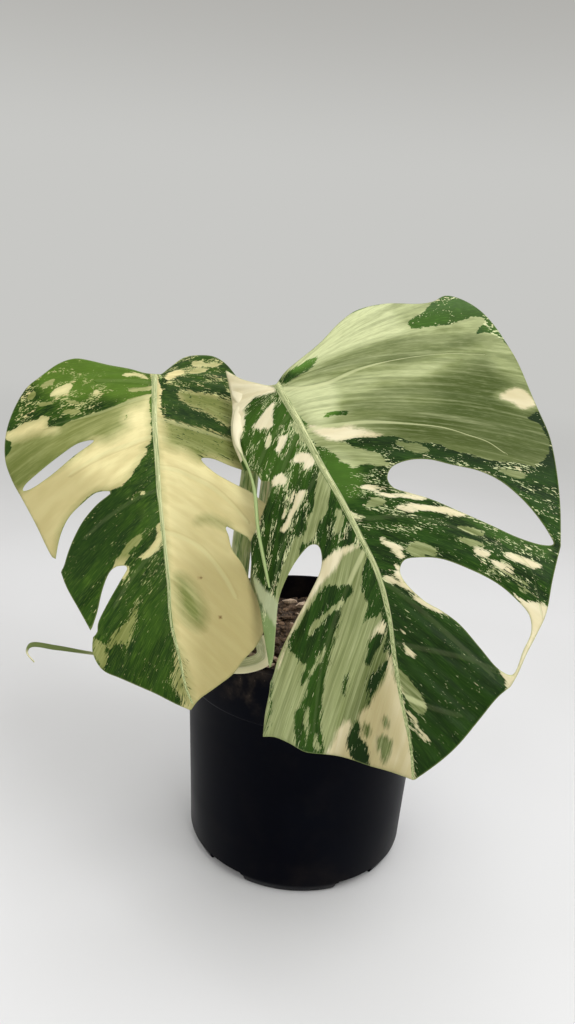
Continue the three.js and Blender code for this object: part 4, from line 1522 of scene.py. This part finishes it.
@dataclass
class LeftLeaf(LeafBlade):
    """The smaller leaf behind, its middle cream and its left side green."""

    name: str = "leaf_left_blade"
    node: str = "leaf_left"
    stalk: Triple = (-104.4, -18, 317.1)
    tip: Triple = (-62.5, -128, 163)
    arch: float = 9.0
    bow: float = 0.0
    slope: Pair = (-0.1, -0.45)
    droop: Pair = (9, 3)
    veins: Halves = (Veins(0.009, 0.0028), Veins(0.008, 0.0028))
    paint_veins: Halves = (Veins(0.009, 0.0028), Veins(0.008, 0.0028))
    pleat: Pair = (0.7, 27)
    rib_width: Pair = (1.9, 0.6)
    base: Tone = Tone.GREEN
    runs: tuple[Ring, ...] = (
        ring(0, -3, -6, -4, -14, -8, -26, -13, -38, -19, -47, -22, -57, -20, -68, -13, -77, -6, -84, 7,
            -89, 24, -90, 41, -86, 56, -80, 70, -73, 87, -67, 103, -62, 113),
        ring(-62, 113, -59, 124, -53, 138, -47, 152),
        ring(-47, 152, -48, 161, -44, 170, -35, 176, -20, 185, -8, 193, -1, 197),
        ring(-1, 197, 4, 192, 13, 187, 23, 181, 30, 174, 38, 167, 44, 158, 44, 147, 41, 135, 37, 121,
            32, 112, 31, 104),
        ring(31, 104, 44, 107),
        ring(44, 107, 53, 101, 58, 92, 57, 83),
        ring(57, 83, 54, 72, 51, 64),
        ring(51, 64, 57, 50, 60, 34, 59, 17, 55, 1, 48, -15, 40, -22, 30, -22, 19, -18, 9, -8, 4, -3,
            0, -3),
    )
    slots: tuple[Ring, ...] = (
        ring(-38, 40, -47, 40, -58, 46, -70, 54, -79, 61, -80, 64, -76, 64, -64, 58, -50, 48),
        ring(-31, 74, -39, 73, -47, 78, -55, 85, -60, 94, -63, 104, -65, 116, -61, 114, -57, 105, -53, 97,
            -47, 88, -39, 80),
        ring(-26, 118, -31, 117, -35, 119, -40, 128, -44, 140, -49, 153, -45, 151, -44, 146, -38, 136,
            -31, 126),
        ring(21, 56, 27, 55, 38, 59, 48, 62, 60, 66, 62, 78, 57, 83, 48, 76, 38, 71, 27, 64),
        ring(30, 98.3, 34, 100, 43, 106, 40, 110, 33, 109, 31, 104),
    )
    midrib: Ring = ring(0, -3, -3, 31, -4, 57, -5, 82, -5, 106, -5, 128, -6, 150, -4, 168, -2, 186, 0, 193)
    side_veins: tuple[Ring, ...] = (
        ring(0, 4, -17, 1, -34, -2),
        ring(-2, 13, -20, 17, -35, 21, -51, 23, -67, 26),
        ring(-4, 41, -18, 45, -29, 48, -42, 53, -53, 59),
        ring(-5, 76, -16, 79, -28, 85, -38, 91, -47, 98),
        ring(-5, 107, -18, 118, -27, 128, -34, 138),
        ring(-3, 29, 13, 34, 26, 38, 44, 43),
        ring(-4, 62, 6, 64, 16, 69, 25, 74, 36, 85, 43, 95),
        ring(-5, 101, 5, 105, 14, 111, 21, 120, 27, 131, 30, 139),
    )
    spots: Triples = ((-72, 92, 1.0), (12, 128, 1.0), (20, 150, 1.1), (30, 20, 0.8))
    patches: tuple[Patch, ...] = LEFT_PATCHES
    tints: tuple[Tint, ...] = LEFT_TINTS


@dataclass
class CurlStrip:
    """The front leaf's first left lobe, dried and curled into a narrow hanging strip."""

    name: str = "leaf_right_curl"
    bulge: float = 1.6
    half: float = 0.35
    length: float = 130.0
    lot: float = 29.0
    across: int = 9
    left: Triples = (
        (-58.6, -18.3, 313), (-57.6, -19.9, 309.5), (-54.9, -21.6, 305.8), (-55.7, -27.4, 298.3),
        (-55.5, -33.3, 291.5), (-53.1, -39.5, 284.1), (-48.8, -44.4, 279.5), (-43.6, -52.4, 271.9),
        (-40.2, -60.5, 262.6), (-36.2, -76.0, 244.5), (-30.9, -88.5, 228), (-27.2, -95.5, 218),
    )
    right: Triples = (
        (-47.5, -21.4, 310.5), (-47.2, -22.7, 306.5), (-48.8, -25.6, 301.9), (-48.3, -29.8, 296.6),
        (-48.4, -33.7, 291.9), (-50.1, -38.1, 287.1), (-46.2, -46.1, 277.2), (-41.4, -53.4, 270.1),
        (-38.3, -61.5, 262.7), (-34.4, -77.0, 244.7), (-29.2, -89.5, 228.2), (-26.2, -96.0, 218.1),
    )

    def build(self, effects: Effects, finish: LeafFinish) -> bpy.types.Object:
        """Builds the strip between its two edges and dresses it.

        Args:
            effects: the shared effects.
            finish: the leaf's finish.

        Returns:
            The strip.
        """
        left, right = smooth_line(self.left, spans=8), smooth_line(self.right, spans=8)
        along = np.gradient((left + right) / 2, axis=0)
        out = np.cross(along, right - left)
        out /= np.linalg.norm(out, axis=1)[:, None]
        out *= np.where(out[:, 1:2] > 0, -1, 1)
        wide = np.linalg.norm(right - left, axis=1)
        c = np.linspace(-1, 1, self.across)
        middle = left[:, None] + (right - left)[:, None] * ((c + 1) / 2)[None, :, None]
        crown = np.minimum(self.bulge, 0.28 * wide)[:, None] * (1 - c**2)[None]
        middle = middle + (crown - 0.5)[:, :, None] * out[:, None]
        rows, columns = middle.shape[:2]
        front = (middle + self.half * out[:, None]).reshape(-1, 3)
        back = (middle - self.half * out[:, None]).reshape(-1, 3)
        count = len(front)
        faces = []
        for i in range(rows - 1):
            for j in range(columns - 1):
                a, b = i * columns + j, (i + 1) * columns + j
                faces.append((a, b, b + 1, a + 1))
                faces.append((a + count, a + 1 + count, b + 1 + count, b + count))
            for j, flip in ((0, False), (columns - 1, True)):
                a, b = i * columns + j, (i + 1) * columns + j
                side = (a, a + count, b + count, b)
                faces.append(side[::-1] if flip else side)
        piece = new_mesh(self.name, np.vstack([front, back]), faces)
        u = np.repeat(np.linspace(0, 1, rows), columns)
        v = np.tile(c, rows)
        thin = ease(u, 0.45, 0.62)
        values = {
            "pale": 2.5 + 3.0 * thin,
            "cream": 6.0 - 5.0 * thin - 5.0 * (v > 0.75),
            "shade": 0.7 * (1 - thin) - 0.1 * thin,
            "streak": 0.2 * thin,
            "under": 0.85 * thin,
            "edge": (1 - np.abs(v)) * np.repeat(wide, columns) / 2,
            "flow": np.stack([v * 5, u * self.length, np.full(count, self.lot)], axis=1),
            **dict.fromkeys(("fleck", "spot", "down"), np.zeros(count)),
            **dict.fromkeys(("rib", "side", "vein", "vein_gate"), np.full(count, FAR)),
        }
        add_to_skins(piece, values)
        finish_piece(piece, finish.make(effects), "leaf_right")
        return piece


# Stalks, stem and sheath


@dataclass(frozen=True)
class Stalk:
    """One leaf stalk, winged at its foot and swollen where the blade starts."""

    name: str
    node: str
    slot: str
    places: Triples
    wing_end: float
    wing_side: float = math.pi
    widths: tuple[float, ...] = (10.8, 9.72, 7.8, 7.8, 7.8, 7.0)
    thickness: float = 8.6
    lot: float = 7.0
    sides: int = 32
    steps: int = 120

    def build(self, effects: Effects, finish: StalkFinish) -> bpy.types.Object:
        """Sweeps the stalk's section, which has low ribs, and dresses it.

        Args:
            effects: the shared effects.
            finish: the stalk's finish.

        Returns:
            The stalk.
        """
        route = Route(self.places, (1, 0.2, 0), self.steps)
        u, length, wide = route.measure(self.widths)
        thick = np.minimum(wide, self.thickness / 2)
        angle = 2 * np.pi * np.arange(self.sides) / self.sides
        ribs = 1 + 0.022 * np.cos(9 * angle)[None] * ease(-u, -0.9, -0.75)[:, None]
        neck = 1 + 0.05 * np.exp(-(((u - 0.93) / 0.02) ** 2)) - 0.04 * np.exp(-(((u - 0.88) / 0.015) ** 2))
        radius = ribs * neck[:, None]
        sides = [wide[:, None] * radius * np.cos(angle), thick[:, None] * radius * np.sin(angle)]
        section = np.stack(sides, axis=2)
        wing = ease(-u, -self.wing_end, -0.4 * self.wing_end)
        spike = np.exp(-((np.angle(np.exp(1j * (angle - self.wing_side))) / 0.3) ** 2))
        section *= 1 + 0.42 * wing[:, None, None] * spike[None, :, None]
        points, faces = sweep(route, section)
        piece = new_mesh(self.name, points, faces)
        turn = np.tile(np.abs(angle - np.pi) * 4, len(u))
        flow = np.stack([turn, np.repeat(length, self.sides), np.full(len(turn), self.lot)], axis=1)
        add_values(piece, "flow", flow)
        winged = (wing[:, None] * spike[None]).ravel()
        add_values(piece, "pale", winged * 0.7)
        add_values(piece, "dry", np.repeat(ease(-u, -0.06, -0.01), self.sides) * 0.6)
        joint = np.exp(-(((u - 0.89) / 0.02) ** 2)) * 0.5
        add_values(piece, "dark", np.repeat(joint, self.sides))
        finish_piece(piece, finish.make(effects), self.slot, (self.node,))
        return piece


@dataclass
class Stem:
    """The short knobby stem that both stalks grow from."""

    name: str = "stem_stub"
    centre: Pair = (-43, 6)
    profile: Ring = ring(0, 96, 7.2, 96, 8.6, 104, 8.9, 118, 8.9, 132, 8.9, 146, 8.2, 150, 6.6, 153.5,
        4, 155.4, 0, 155.9)
    sides: int = 40
    lot: float = 11.0

    def build(self, effects: Effects, finish: StalkFinish) -> bpy.types.Object:
        """Turns the stem and gives it rings of old leaf scars.

        Args:
            effects: the shared effects.
            finish: the stem's finish.

        Returns:
            The stem.
        """
        line = smooth_line(self.profile, spans=6)
        line[:, 0] = np.maximum(line[:, 0], 0)
        line[0, 0] = line[-1, 0] = 0
        points, faces = shell_of_turn([tuple(p) for p in line], self.sides)
        angle = np.arctan2(points[:, 1], points[:, 0])
        z = points[:, 2]
        scar = 0.05 * np.exp(-((((z + 1.4 * np.sin(angle * 2)) % 11 - 5.5) / 0.9) ** 2))
        lump = 0.03 * np.sin(3 * angle + z * 0.3)
        points[:, :2] *= (0.95 + scar - np.abs(lump))[:, None]
        points[:, :2] += self.centre
        piece = new_mesh(self.name, points, faces)
        add_values(piece, "flow", np.stack([np.abs(angle) * 9, z, np.full(len(z), self.lot)], axis=1))
        add_values(piece, "pale", np.zeros(len(z)))
        add_values(piece, "dark", scar * 10)
        add_values(piece, "dry", ease(-z, -146, -138) * 0.8)
        finish_piece(piece, finish.make(effects), "stem_green", ("stem",))
        return piece


@dataclass
class Sheath:
    """The fallen sheath that lies over the rim and hangs over the pot's edge at the left."""

    name: str = "sheath_strip"
    places: Triples = (
        (-34, -3, 136), (-33, -14, 150), (-32, -30, 159), (-30.5, -48, 165), (-28, -64, 166.5),
        (-28.5, -78, 166.2), (-38, -86, 165.6), (-52, -88, 165.5), (-66, -88, 166), (-96, -87, 166),
        (-126, -85, 166.5), (-147, -84, 168), (-160, -87, 170), (-162, -88, 166), (-158, -88, 160),
    )
    across: Triples = (
        (1, 0, 0), (1, 0, 0), (1, 0, 0), (1, 0, -0.1), (0.95, -0.2, -0.2), (0.6, -0.6, -0.5),
        (0.1, -0.7, -0.7), (0, -0.65, -0.75), (0, -0.6, -0.8), (0, -0.6, -0.8), (0, -0.6, -0.8),
        (0, -0.6, -0.8), (0, -0.6, -0.8), (0.5, -0.6, -0.4), (0.9, -0.3, 0),
    )
    widths: tuple[float, ...] = (8, 9, 10, 10.5, 10.5, 10, 9, 8, 5.5, 1.8, 1.8, 2.9, 2.8, 1.6, 0.9)
    half: float = 0.8
    lot: float = 2.0
    sides: int = 24
    steps: int = 240

    def build(self, effects: Effects, finish: StalkFinish) -> bpy.types.Object:
        """Sweeps a shallow gutter section with a thickened rim on each side.

        Args:
            effects: the shared effects.
            finish: the sheath's finish.

        Returns:
            The sheath.
        """
        route = Route(self.places, self.across, self.steps)
        u, length, wide = route.measure(self.widths)
        half = np.minimum(self.half, wide)
        angle = 2 * np.pi * np.arange(self.sides) / self.sides
        across, above = np.cos(angle), np.sin(angle)
        roll = 0.35 + 0.65 * across**2
        dip = 0.55 * (across**2 - 0.5)
        place = wide[:, None] * across[None]
        rise = half[:, None] * (above * roll)[None] + (half * 0.9)[:, None] * dip[None]
        points, faces = sweep(route, np.stack([place, rise], axis=2))
        piece = new_mesh(self.name, points, faces)
        flow = [place.ravel(), np.repeat(length, self.sides), np.full(place.size, self.lot)]
        add_values(piece, "flow", np.stack(flow, axis=1))
        tail = ease(u, 0.66, 0.76) * ease(-u, -0.93, -0.88)
        lower = 0.9 * ease(across, 0.05, 0.35)
        # Painted shade: a dark line along the bottom of the gutter, on its upper face.
        crease_shadow = 0.7 * np.exp(-(((across + 0.12) / 0.12) ** 2)) * (above > 0)
        add_values(piece, "pale", np.clip(lower[None] - tail[:, None], 0, 1).ravel())
        add_values(piece, "dark", np.clip(crease_shadow[None] + tail[:, None], 0, 1).ravel())
        add_values(piece, "dry", np.repeat(ease(-u, -0.1, -0.02), self.sides))
        finish_piece(piece, finish.make(effects), "sheath_pale", ("cataphyll",))
        return piece


# The pot and its mix


@dataclass
class Pot:
    """The dark nursery pot, with its collar, rolled lip, drain notches and dusty rim."""

    name: str = "nursery_pot"
    sides: int = 168
    notches: int = 5
    notch_width: float = 30.0
    notch_height: float = 15.0
    notch_reach: float = 34.0
    notch_place: float = 74.6
    notch_round: float = 1.5
    first_notch: float = -128.0
    profile: Ring = ring(0, 0, 40, 0, 66, 0, 69.6, 0.1, 70.6, 0.5, 71.5, 1.2, 73.6, 5.2, 74.4, 6.5,
        74.75, 8, 76, 40, 77.5, 75, 78.6, 100, 79.45, 120.6, 79.55, 121.4, 79.9, 121.9, 80.6, 122.3,
        80.83, 123, 80.9, 124, 81.1, 136, 81.45, 152, 81.6, 156.6, 81.75, 157.1, 82.2, 157.5, 82.45, 158,
        82.5, 158.8, 82.4, 159.7, 81.9, 160.3, 81.2, 160.5, 80.2, 160.5, 79.7, 160.2, 79.6, 159.5,
        79.5, 156, 79.35, 150, 79.2, 140, 79.0, 128, 78.9, 124.8, 78.5, 124, 77.95, 121.5, 77.7, 114,
        75.6, 60, 73.1, 6.8, 71.5, 3.8, 69.9, 2.3, 66, 2.2, 0, 2.2)

    def build(self, effects: Effects, finish: PotFinish) -> bpy.types.Object:
        """Turns the pot, cuts its drain notches and dresses it.

        Args:
            effects: the shared effects.
            finish: the pot's finish.

        Returns:
            The pot.
        """
        points, faces = shell_of_turn(self.profile, self.sides)
        piece = new_mesh(self.name, points, faces)
        for k in range(self.notches):
            self.notch(piece, math.radians(self.first_notch + 360 / self.notches * k))
        piece.data.shade_smooth()
        sharp = bmesh.new()
        sharp.from_mesh(piece.data)
        for edge in sharp.edges:
            if len(edge.link_faces) == 2 and edge.calc_face_angle(0) > math.radians(50):
                edge.smooth = False
        sharp.to_mesh(piece.data)
        sharp.free()
        place = np.array([vertex.co for vertex in piece.data.vertices]) / MM
        turn = np.arctan2(place[:, 1], place[:, 0])
        spot = np.exp(-(((turn + 2.05) / 0.16) ** 2)) * ease(place[:, 2], 118, 134)
        low = ease(-place[:, 2], -14, -2) * 0.5
        inner = (np.hypot(place[:, 0], place[:, 1]) < 79.7) * (place[:, 2] > 135) * 0.1
        add_values(piece, "dust", np.clip(0.02 + 0.75 * spot + 0.2 * low + inner, 0, 1))
        finish_piece(piece, finish.make(effects), "pot_plastic", ("pot",))
        return piece

    def notch(self, piece: bpy.types.Object, turn: float) -> None:
        """Cuts one drain notch out of the foot.

        Args:
            piece: the pot.
            turn: where the notch lies round it, in radians.
        """
        mesh = bpy.data.meshes.new("notch_cutter")
        shape = bmesh.new()
        bmesh.ops.create_cube(shape, size=MM)
        shape.transform(Matrix.Diagonal((self.notch_reach, self.notch_width, self.notch_height, 1)))
        bmesh.ops.bevel(
            shape, geom=[e for e in shape.edges if abs(e.verts[0].co.x - e.verts[1].co.x) > 0.01],
            offset=self.notch_round * MM, segments=3, affect="EDGES",
        )
        out = Matrix.Translation((self.notch_place * MM, 0, 0))
        shape.transform(Matrix.Rotation(turn, 4, "Z") @ out)
        shape.to_mesh(mesh)
        shape.free()
        cutter = new_object("notch_cutter", mesh)
        cut = piece.modifiers.new("notch", "BOOLEAN")
        cut.object = cutter
        cut.operation = "DIFFERENCE"
        cut.solver = "EXACT"
        view = bpy.context.evaluated_depsgraph_get()
        result = bpy.data.meshes.new_from_object(piece.evaluated_get(view))
        piece.modifiers.clear()
        piece.data = result
        bpy.data.objects.remove(cutter)


@dataclass
class PottingMix:
    """The chunky mix: a lumpy bed with chips of bark lying on it."""

    name: str = "potting_mix_bed"
    chips_name: str = "bark_chips"
    level: float = 142.5
    pot_radius: float = 82.5
    bed_radius: float = 79.0
    low: float = 126.0
    rings: int = 44
    sides: int = 132
    chips: int = 620
    chip_sizes: tuple[float, ...] = (1.3, 2.2, 3.4, 5.0)
    chip_shares: tuple[float, ...] = (0.42, 0.33, 0.18, 0.07)
    chip_form: Triple = (1.3, 0.8, 0.42)
    seed: int = 11

    def height(self, x: np.ndarray, y: np.ndarray) -> np.ndarray:
        """How high the mix lies.

        Args:
            x: places from left to right.
            y: places from front to back.

        Returns:
            One height for each place.
        """
        mound = 3 * (1 - (x**2 + y**2) / self.pot_radius**2)
        lumps = np.sin(0.19 * x + 1.3) * np.cos(0.23 * y) + 0.6 * np.sin(0.41 * x - 0.37 * y)
        return self.level + mound + 1.5 * lumps

    def build(self, effects: Effects, finish: MixFinish, bark: MixFinish) -> list[bpy.types.Object]:
        """Builds the bed and the chips.

        Args:
            effects: the shared effects.
            finish: the bed's finish.
            bark: the chips' finish.

        Returns:
            The bed and the chips.
        """
        sides = self.sides
        profile = [(self.bed_radius * (k / self.rings), 0.0) for k in range(self.rings, -1, -1)]
        points, faces = shell_of_turn(profile, sides)
        chance = np.random.default_rng(self.seed)
        radius = np.hypot(points[:, 0], points[:, 1])
        points[:, 2] = self.height(points[:, 0], points[:, 1]) - 0.6
        points[:, 2] += np.where(radius < self.bed_radius - 1, chance.normal(0, 0.35, len(points)), 0)
        bottom, under = shell_of_turn([(0.0, 0.0), (self.bed_radius - 1.3, 0.0)], sides)
        bottom[:, 2] = self.low
        lower = len(points)
        edge = [(j, (j + 1) % sides) for j in range(sides)]
        wall = [(lower + 1 + a, lower + 1 + b, b, a) for a, b in edge]
        faces = faces + [tuple(k + lower for k in face)[::-1] for face in under] + wall
        points = np.vstack([points, bottom])
        bed = new_mesh(self.name, points, faces)
        bed.data.shade_flat()
        add_values(bed, "lot", chance.random(len(points)) * 0.45)
        finish_piece(bed, finish.make(effects), "potting_mix", ("soil",))
        return [bed, self.scatter(effects, bark, chance)]

    def scatter(
        self, effects: Effects, finish: MixFinish, chance: np.random.Generator
    ) -> bpy.types.Object:
        """Builds the chips of bark, each an uneven flattened lump.

        Args:
            effects: the shared effects.
            finish: the chips' finish.
            chance: the seeded source of numbers.

        Returns:
            The chips, as one piece.
        """
        shape = bmesh.new()
        bmesh.ops.create_icosphere(shape, subdivisions=1, radius=1.0)
        shape.verts.ensure_lookup_table()
        ball = np.array([vertex.co for vertex in shape.verts])
        hull = np.array([[vertex.index for vertex in face.verts] for face in shape.faces])
        shape.free()
        points, faces, lots = [], [], []
        for k in range(self.chips):
            size = chance.choice(self.chip_sizes, p=self.chip_shares)
            reach = (self.bed_radius - size * 1.35 - 1.0) * math.sqrt(chance.random())
            turn = chance.random() * math.tau
            x, y = reach * math.cos(turn), reach * math.sin(turn)
            form = ball * (1 + chance.uniform(-0.28, 0.28, (len(ball), 1)))
            form = form * (size * np.array(self.chip_form) * chance.uniform(0.8, 1.2, 3))
            spin = Matrix.Rotation(chance.random() * math.tau, 3, "Z")
            lean = Matrix.Rotation(chance.normal(0, 0.35), 3, "X")
            form = form @ np.array(spin @ lean).T
            rise = self.height(np.array(x), np.array(y)) - 0.2 + 0.25 * size
            faces.append(hull + len(ball) * k)
            points.append(form + (x, y, float(rise)))
            lots.append(np.full(len(ball), chance.random()))
        piece = new_mesh(self.chips_name, np.vstack(points), np.vstack(faces).tolist())
        piece.data.shade_flat()
        add_values(piece, "lot", np.concatenate(lots))
        finish_piece(piece, finish.make(effects), "potting_mix")
        return piece


# The studio


@dataclass
class Studio:
    """The plain floor and the soft lights, in metres, and the camera, in millimetres."""

    floor_radius: float = 9.0
    lit_place: Triple = (0, -0.05, 0.18)
    eye: Triple = EYE
    pitch: float = 15.94
    roll: float = 3.84
    focal: float = 28.125

    def build(self, effects: Effects) -> None:
        """Sets up the floor, the background, the lights and the camera.

        Args:
            effects: the shared effects.
        """
        self.floor(effects)
        self.background()
        self.light("key_light", (0.5, -0.7, 1.25), 0.8, 10.5)
        self.light("fill_light", (-0.9, -0.9, 1.0), 1.2, 5.5)
        self.light("top_light", (0.1, 0.5, 1.6), 1.4, 8.5)
        self.camera()

    def floor(self, effects: Effects) -> None:
        """The floor disc, which isn't part of the object.

        Args:
            effects: the shared effects.
        """
        mesh = bpy.data.meshes.new("studio_floor")
        shape = bmesh.new()
        bmesh.ops.create_circle(shape, cap_ends=True, segments=96, radius=self.floor_radius)
        shape.to_mesh(mesh)
        shape.free()
        floor = new_object("studio_floor", mesh)
        floor.data.materials.append(FloorFinish().make(effects))

    def background(self) -> None:
        """A pale background that darkens a little towards the top."""
        world = bpy.data.worlds.new("studio_background")
        bpy.context.scene.world = world
        world.use_nodes = True
        nodes = Tree(world.node_tree)
        place = nodes.add("ShaderNodeTexCoord").outputs["Generated"]
        parts = nodes.add("ShaderNodeSeparateXYZ", {0: place})
        high = nodes.ramp(parts.outputs[2], 0.12, 0.34)
        color = nodes.mix(high, linear(200, 200, 197), linear(176, 175, 171))
        shade = world.node_tree.nodes["Background"]
        nodes.feed(shade, {"Color": color, "Strength": 1.0})

    def light(self, name: str, place: Triple, size: float, power: float) -> None:
        """One soft square light aimed at the plant.

        Args:
            name: the light's name.
            place: where it hangs, in metres.
            size: how wide it is, in metres.
            power: its power in watts.
        """
        lamp = bpy.data.lights.new(name, "AREA")
        lamp.size = size
        lamp.energy = power
        piece = new_object(name, lamp)
        piece.location = place
        aim = Vector(self.lit_place) - Vector(place)
        piece.rotation_euler = aim.to_track_quat("-Z", "Y").to_euler()

    def camera(self) -> None:
        """The camera, at the photograph's height, tilt and roll."""
        data = bpy.data.cameras.new("photo_camera")
        data.sensor_width = 36
        data.lens = self.focal
        data.clip_start = 0.01
        camera = new_object("photo_camera", data)
        pitch, roll = math.radians(self.pitch), math.radians(self.roll)
        ahead = Vector((0, math.cos(pitch), -math.sin(pitch)))
        level = Vector((0, math.sin(pitch), math.cos(pitch)))
        right = Vector((math.cos(roll), 0, 0)) + level * math.sin(roll)
        top = Vector((-math.sin(roll), 0, 0)) + level * math.cos(roll)
        turn = Matrix((right, top, -ahead)).transposed().to_4x4()
        camera.matrix_world = Matrix.Translation(Vector(self.eye) * MM) @ turn
        bpy.context.scene.camera = camera


@dataclass
class Monstera:
    """The whole potted plant."""

    left_stalk: Stalk = Stalk(
        "stalk_left_green", "petiole_left", "stalk_left",
        ((-49, 3, 148), (-48.8, 3, 175), (-47.6, 5, 205), (-46.2, 11, 237), (-46.6, 16, 268),
         (-56, 17, 292), (-71, 12, 306), (-89, 1, 312.5), (-103.6, -15.6, 315.8)),
        wing_end=0.62, widths=(10.8, 10.8, 11, 10.2, 8.6, 7),
    )
    right_stalk: Stalk = Stalk(
        "stalk_right_striped", "petiole_right", "stalk_right",
        ((-36, 9, 148), (-35, 8, 180), (-35, 4, 212), (-34, 3, 246), (-33, -1, 275), (-32, -10, 298),
         (-31, -22, 312.4), (-30.2, -29.6, 316)),
        wing_end=0.6,
    )

    def build(self, effects: Effects) -> None:
        """Builds every part of the plant and its pot.

        Args:
            effects: the shared effects.
        """
        Pot().build(effects, PotFinish())
        PottingMix().build(effects, MixFinish("potting_mix"), MixFinish("bark"))
        green = StalkFinish(
            "green_stem", linear(72, 104, 40), linear(44, 76, 22), linear(150, 158, 104),
            linear(116, 88, 58),
        )
        Stem().build(effects, green)
        stripes = {
            "stripe": linear(98, 132, 52), "pale": linear(222, 220, 172), "dry": linear(150, 128, 92)
        }
        self.left_stalk.build(effects, StalkFinish("stalk_left", linear(168, 182, 112), **stripes))
        self.right_stalk.build(effects, StalkFinish("stalk_right", linear(186, 180, 128), **stripes))
        sheath = StalkFinish(
            "pale_sheath", linear(172, 176, 124), linear(96, 112, 48), linear(240, 232, 190),
            linear(134, 106, 70), 0.5, 1.6, 0.2,
        )
        Sheath().build(effects, sheath)
        left = LeafFinish(
            "leaf_left", deep=linear(20, 45, 5), green=linear(40, 69, 10), lit=linear(104, 136, 46),
            sage=linear(124, 130, 70), sage_lit=linear(176, 178, 120), olive=linear(86, 98, 38),
            cream=linear(205, 191, 136), cream_lit=linear(232, 222, 166), tan=linear(158, 146, 96),
            veined=0.2, fray=3.5, blend=9.0,
        )
        LeftLeaf().build(effects, left)
        RightLeaf().build(effects, LeafFinish("leaf_right"))
        CurlStrip().build(effects, LeafFinish("leaf_curl", under=linear(146, 170, 108)))


def main() -> None:
    """Builds the plant and the studio."""
    logging.basicConfig(level=logging.INFO, format="%(message)s")
    bpy.context.scene.view_settings.view_transform = "Standard"
    effects = Effects()
    Monstera().build(effects)
    Studio().build(effects)


if __name__ == "__main__":
    main()
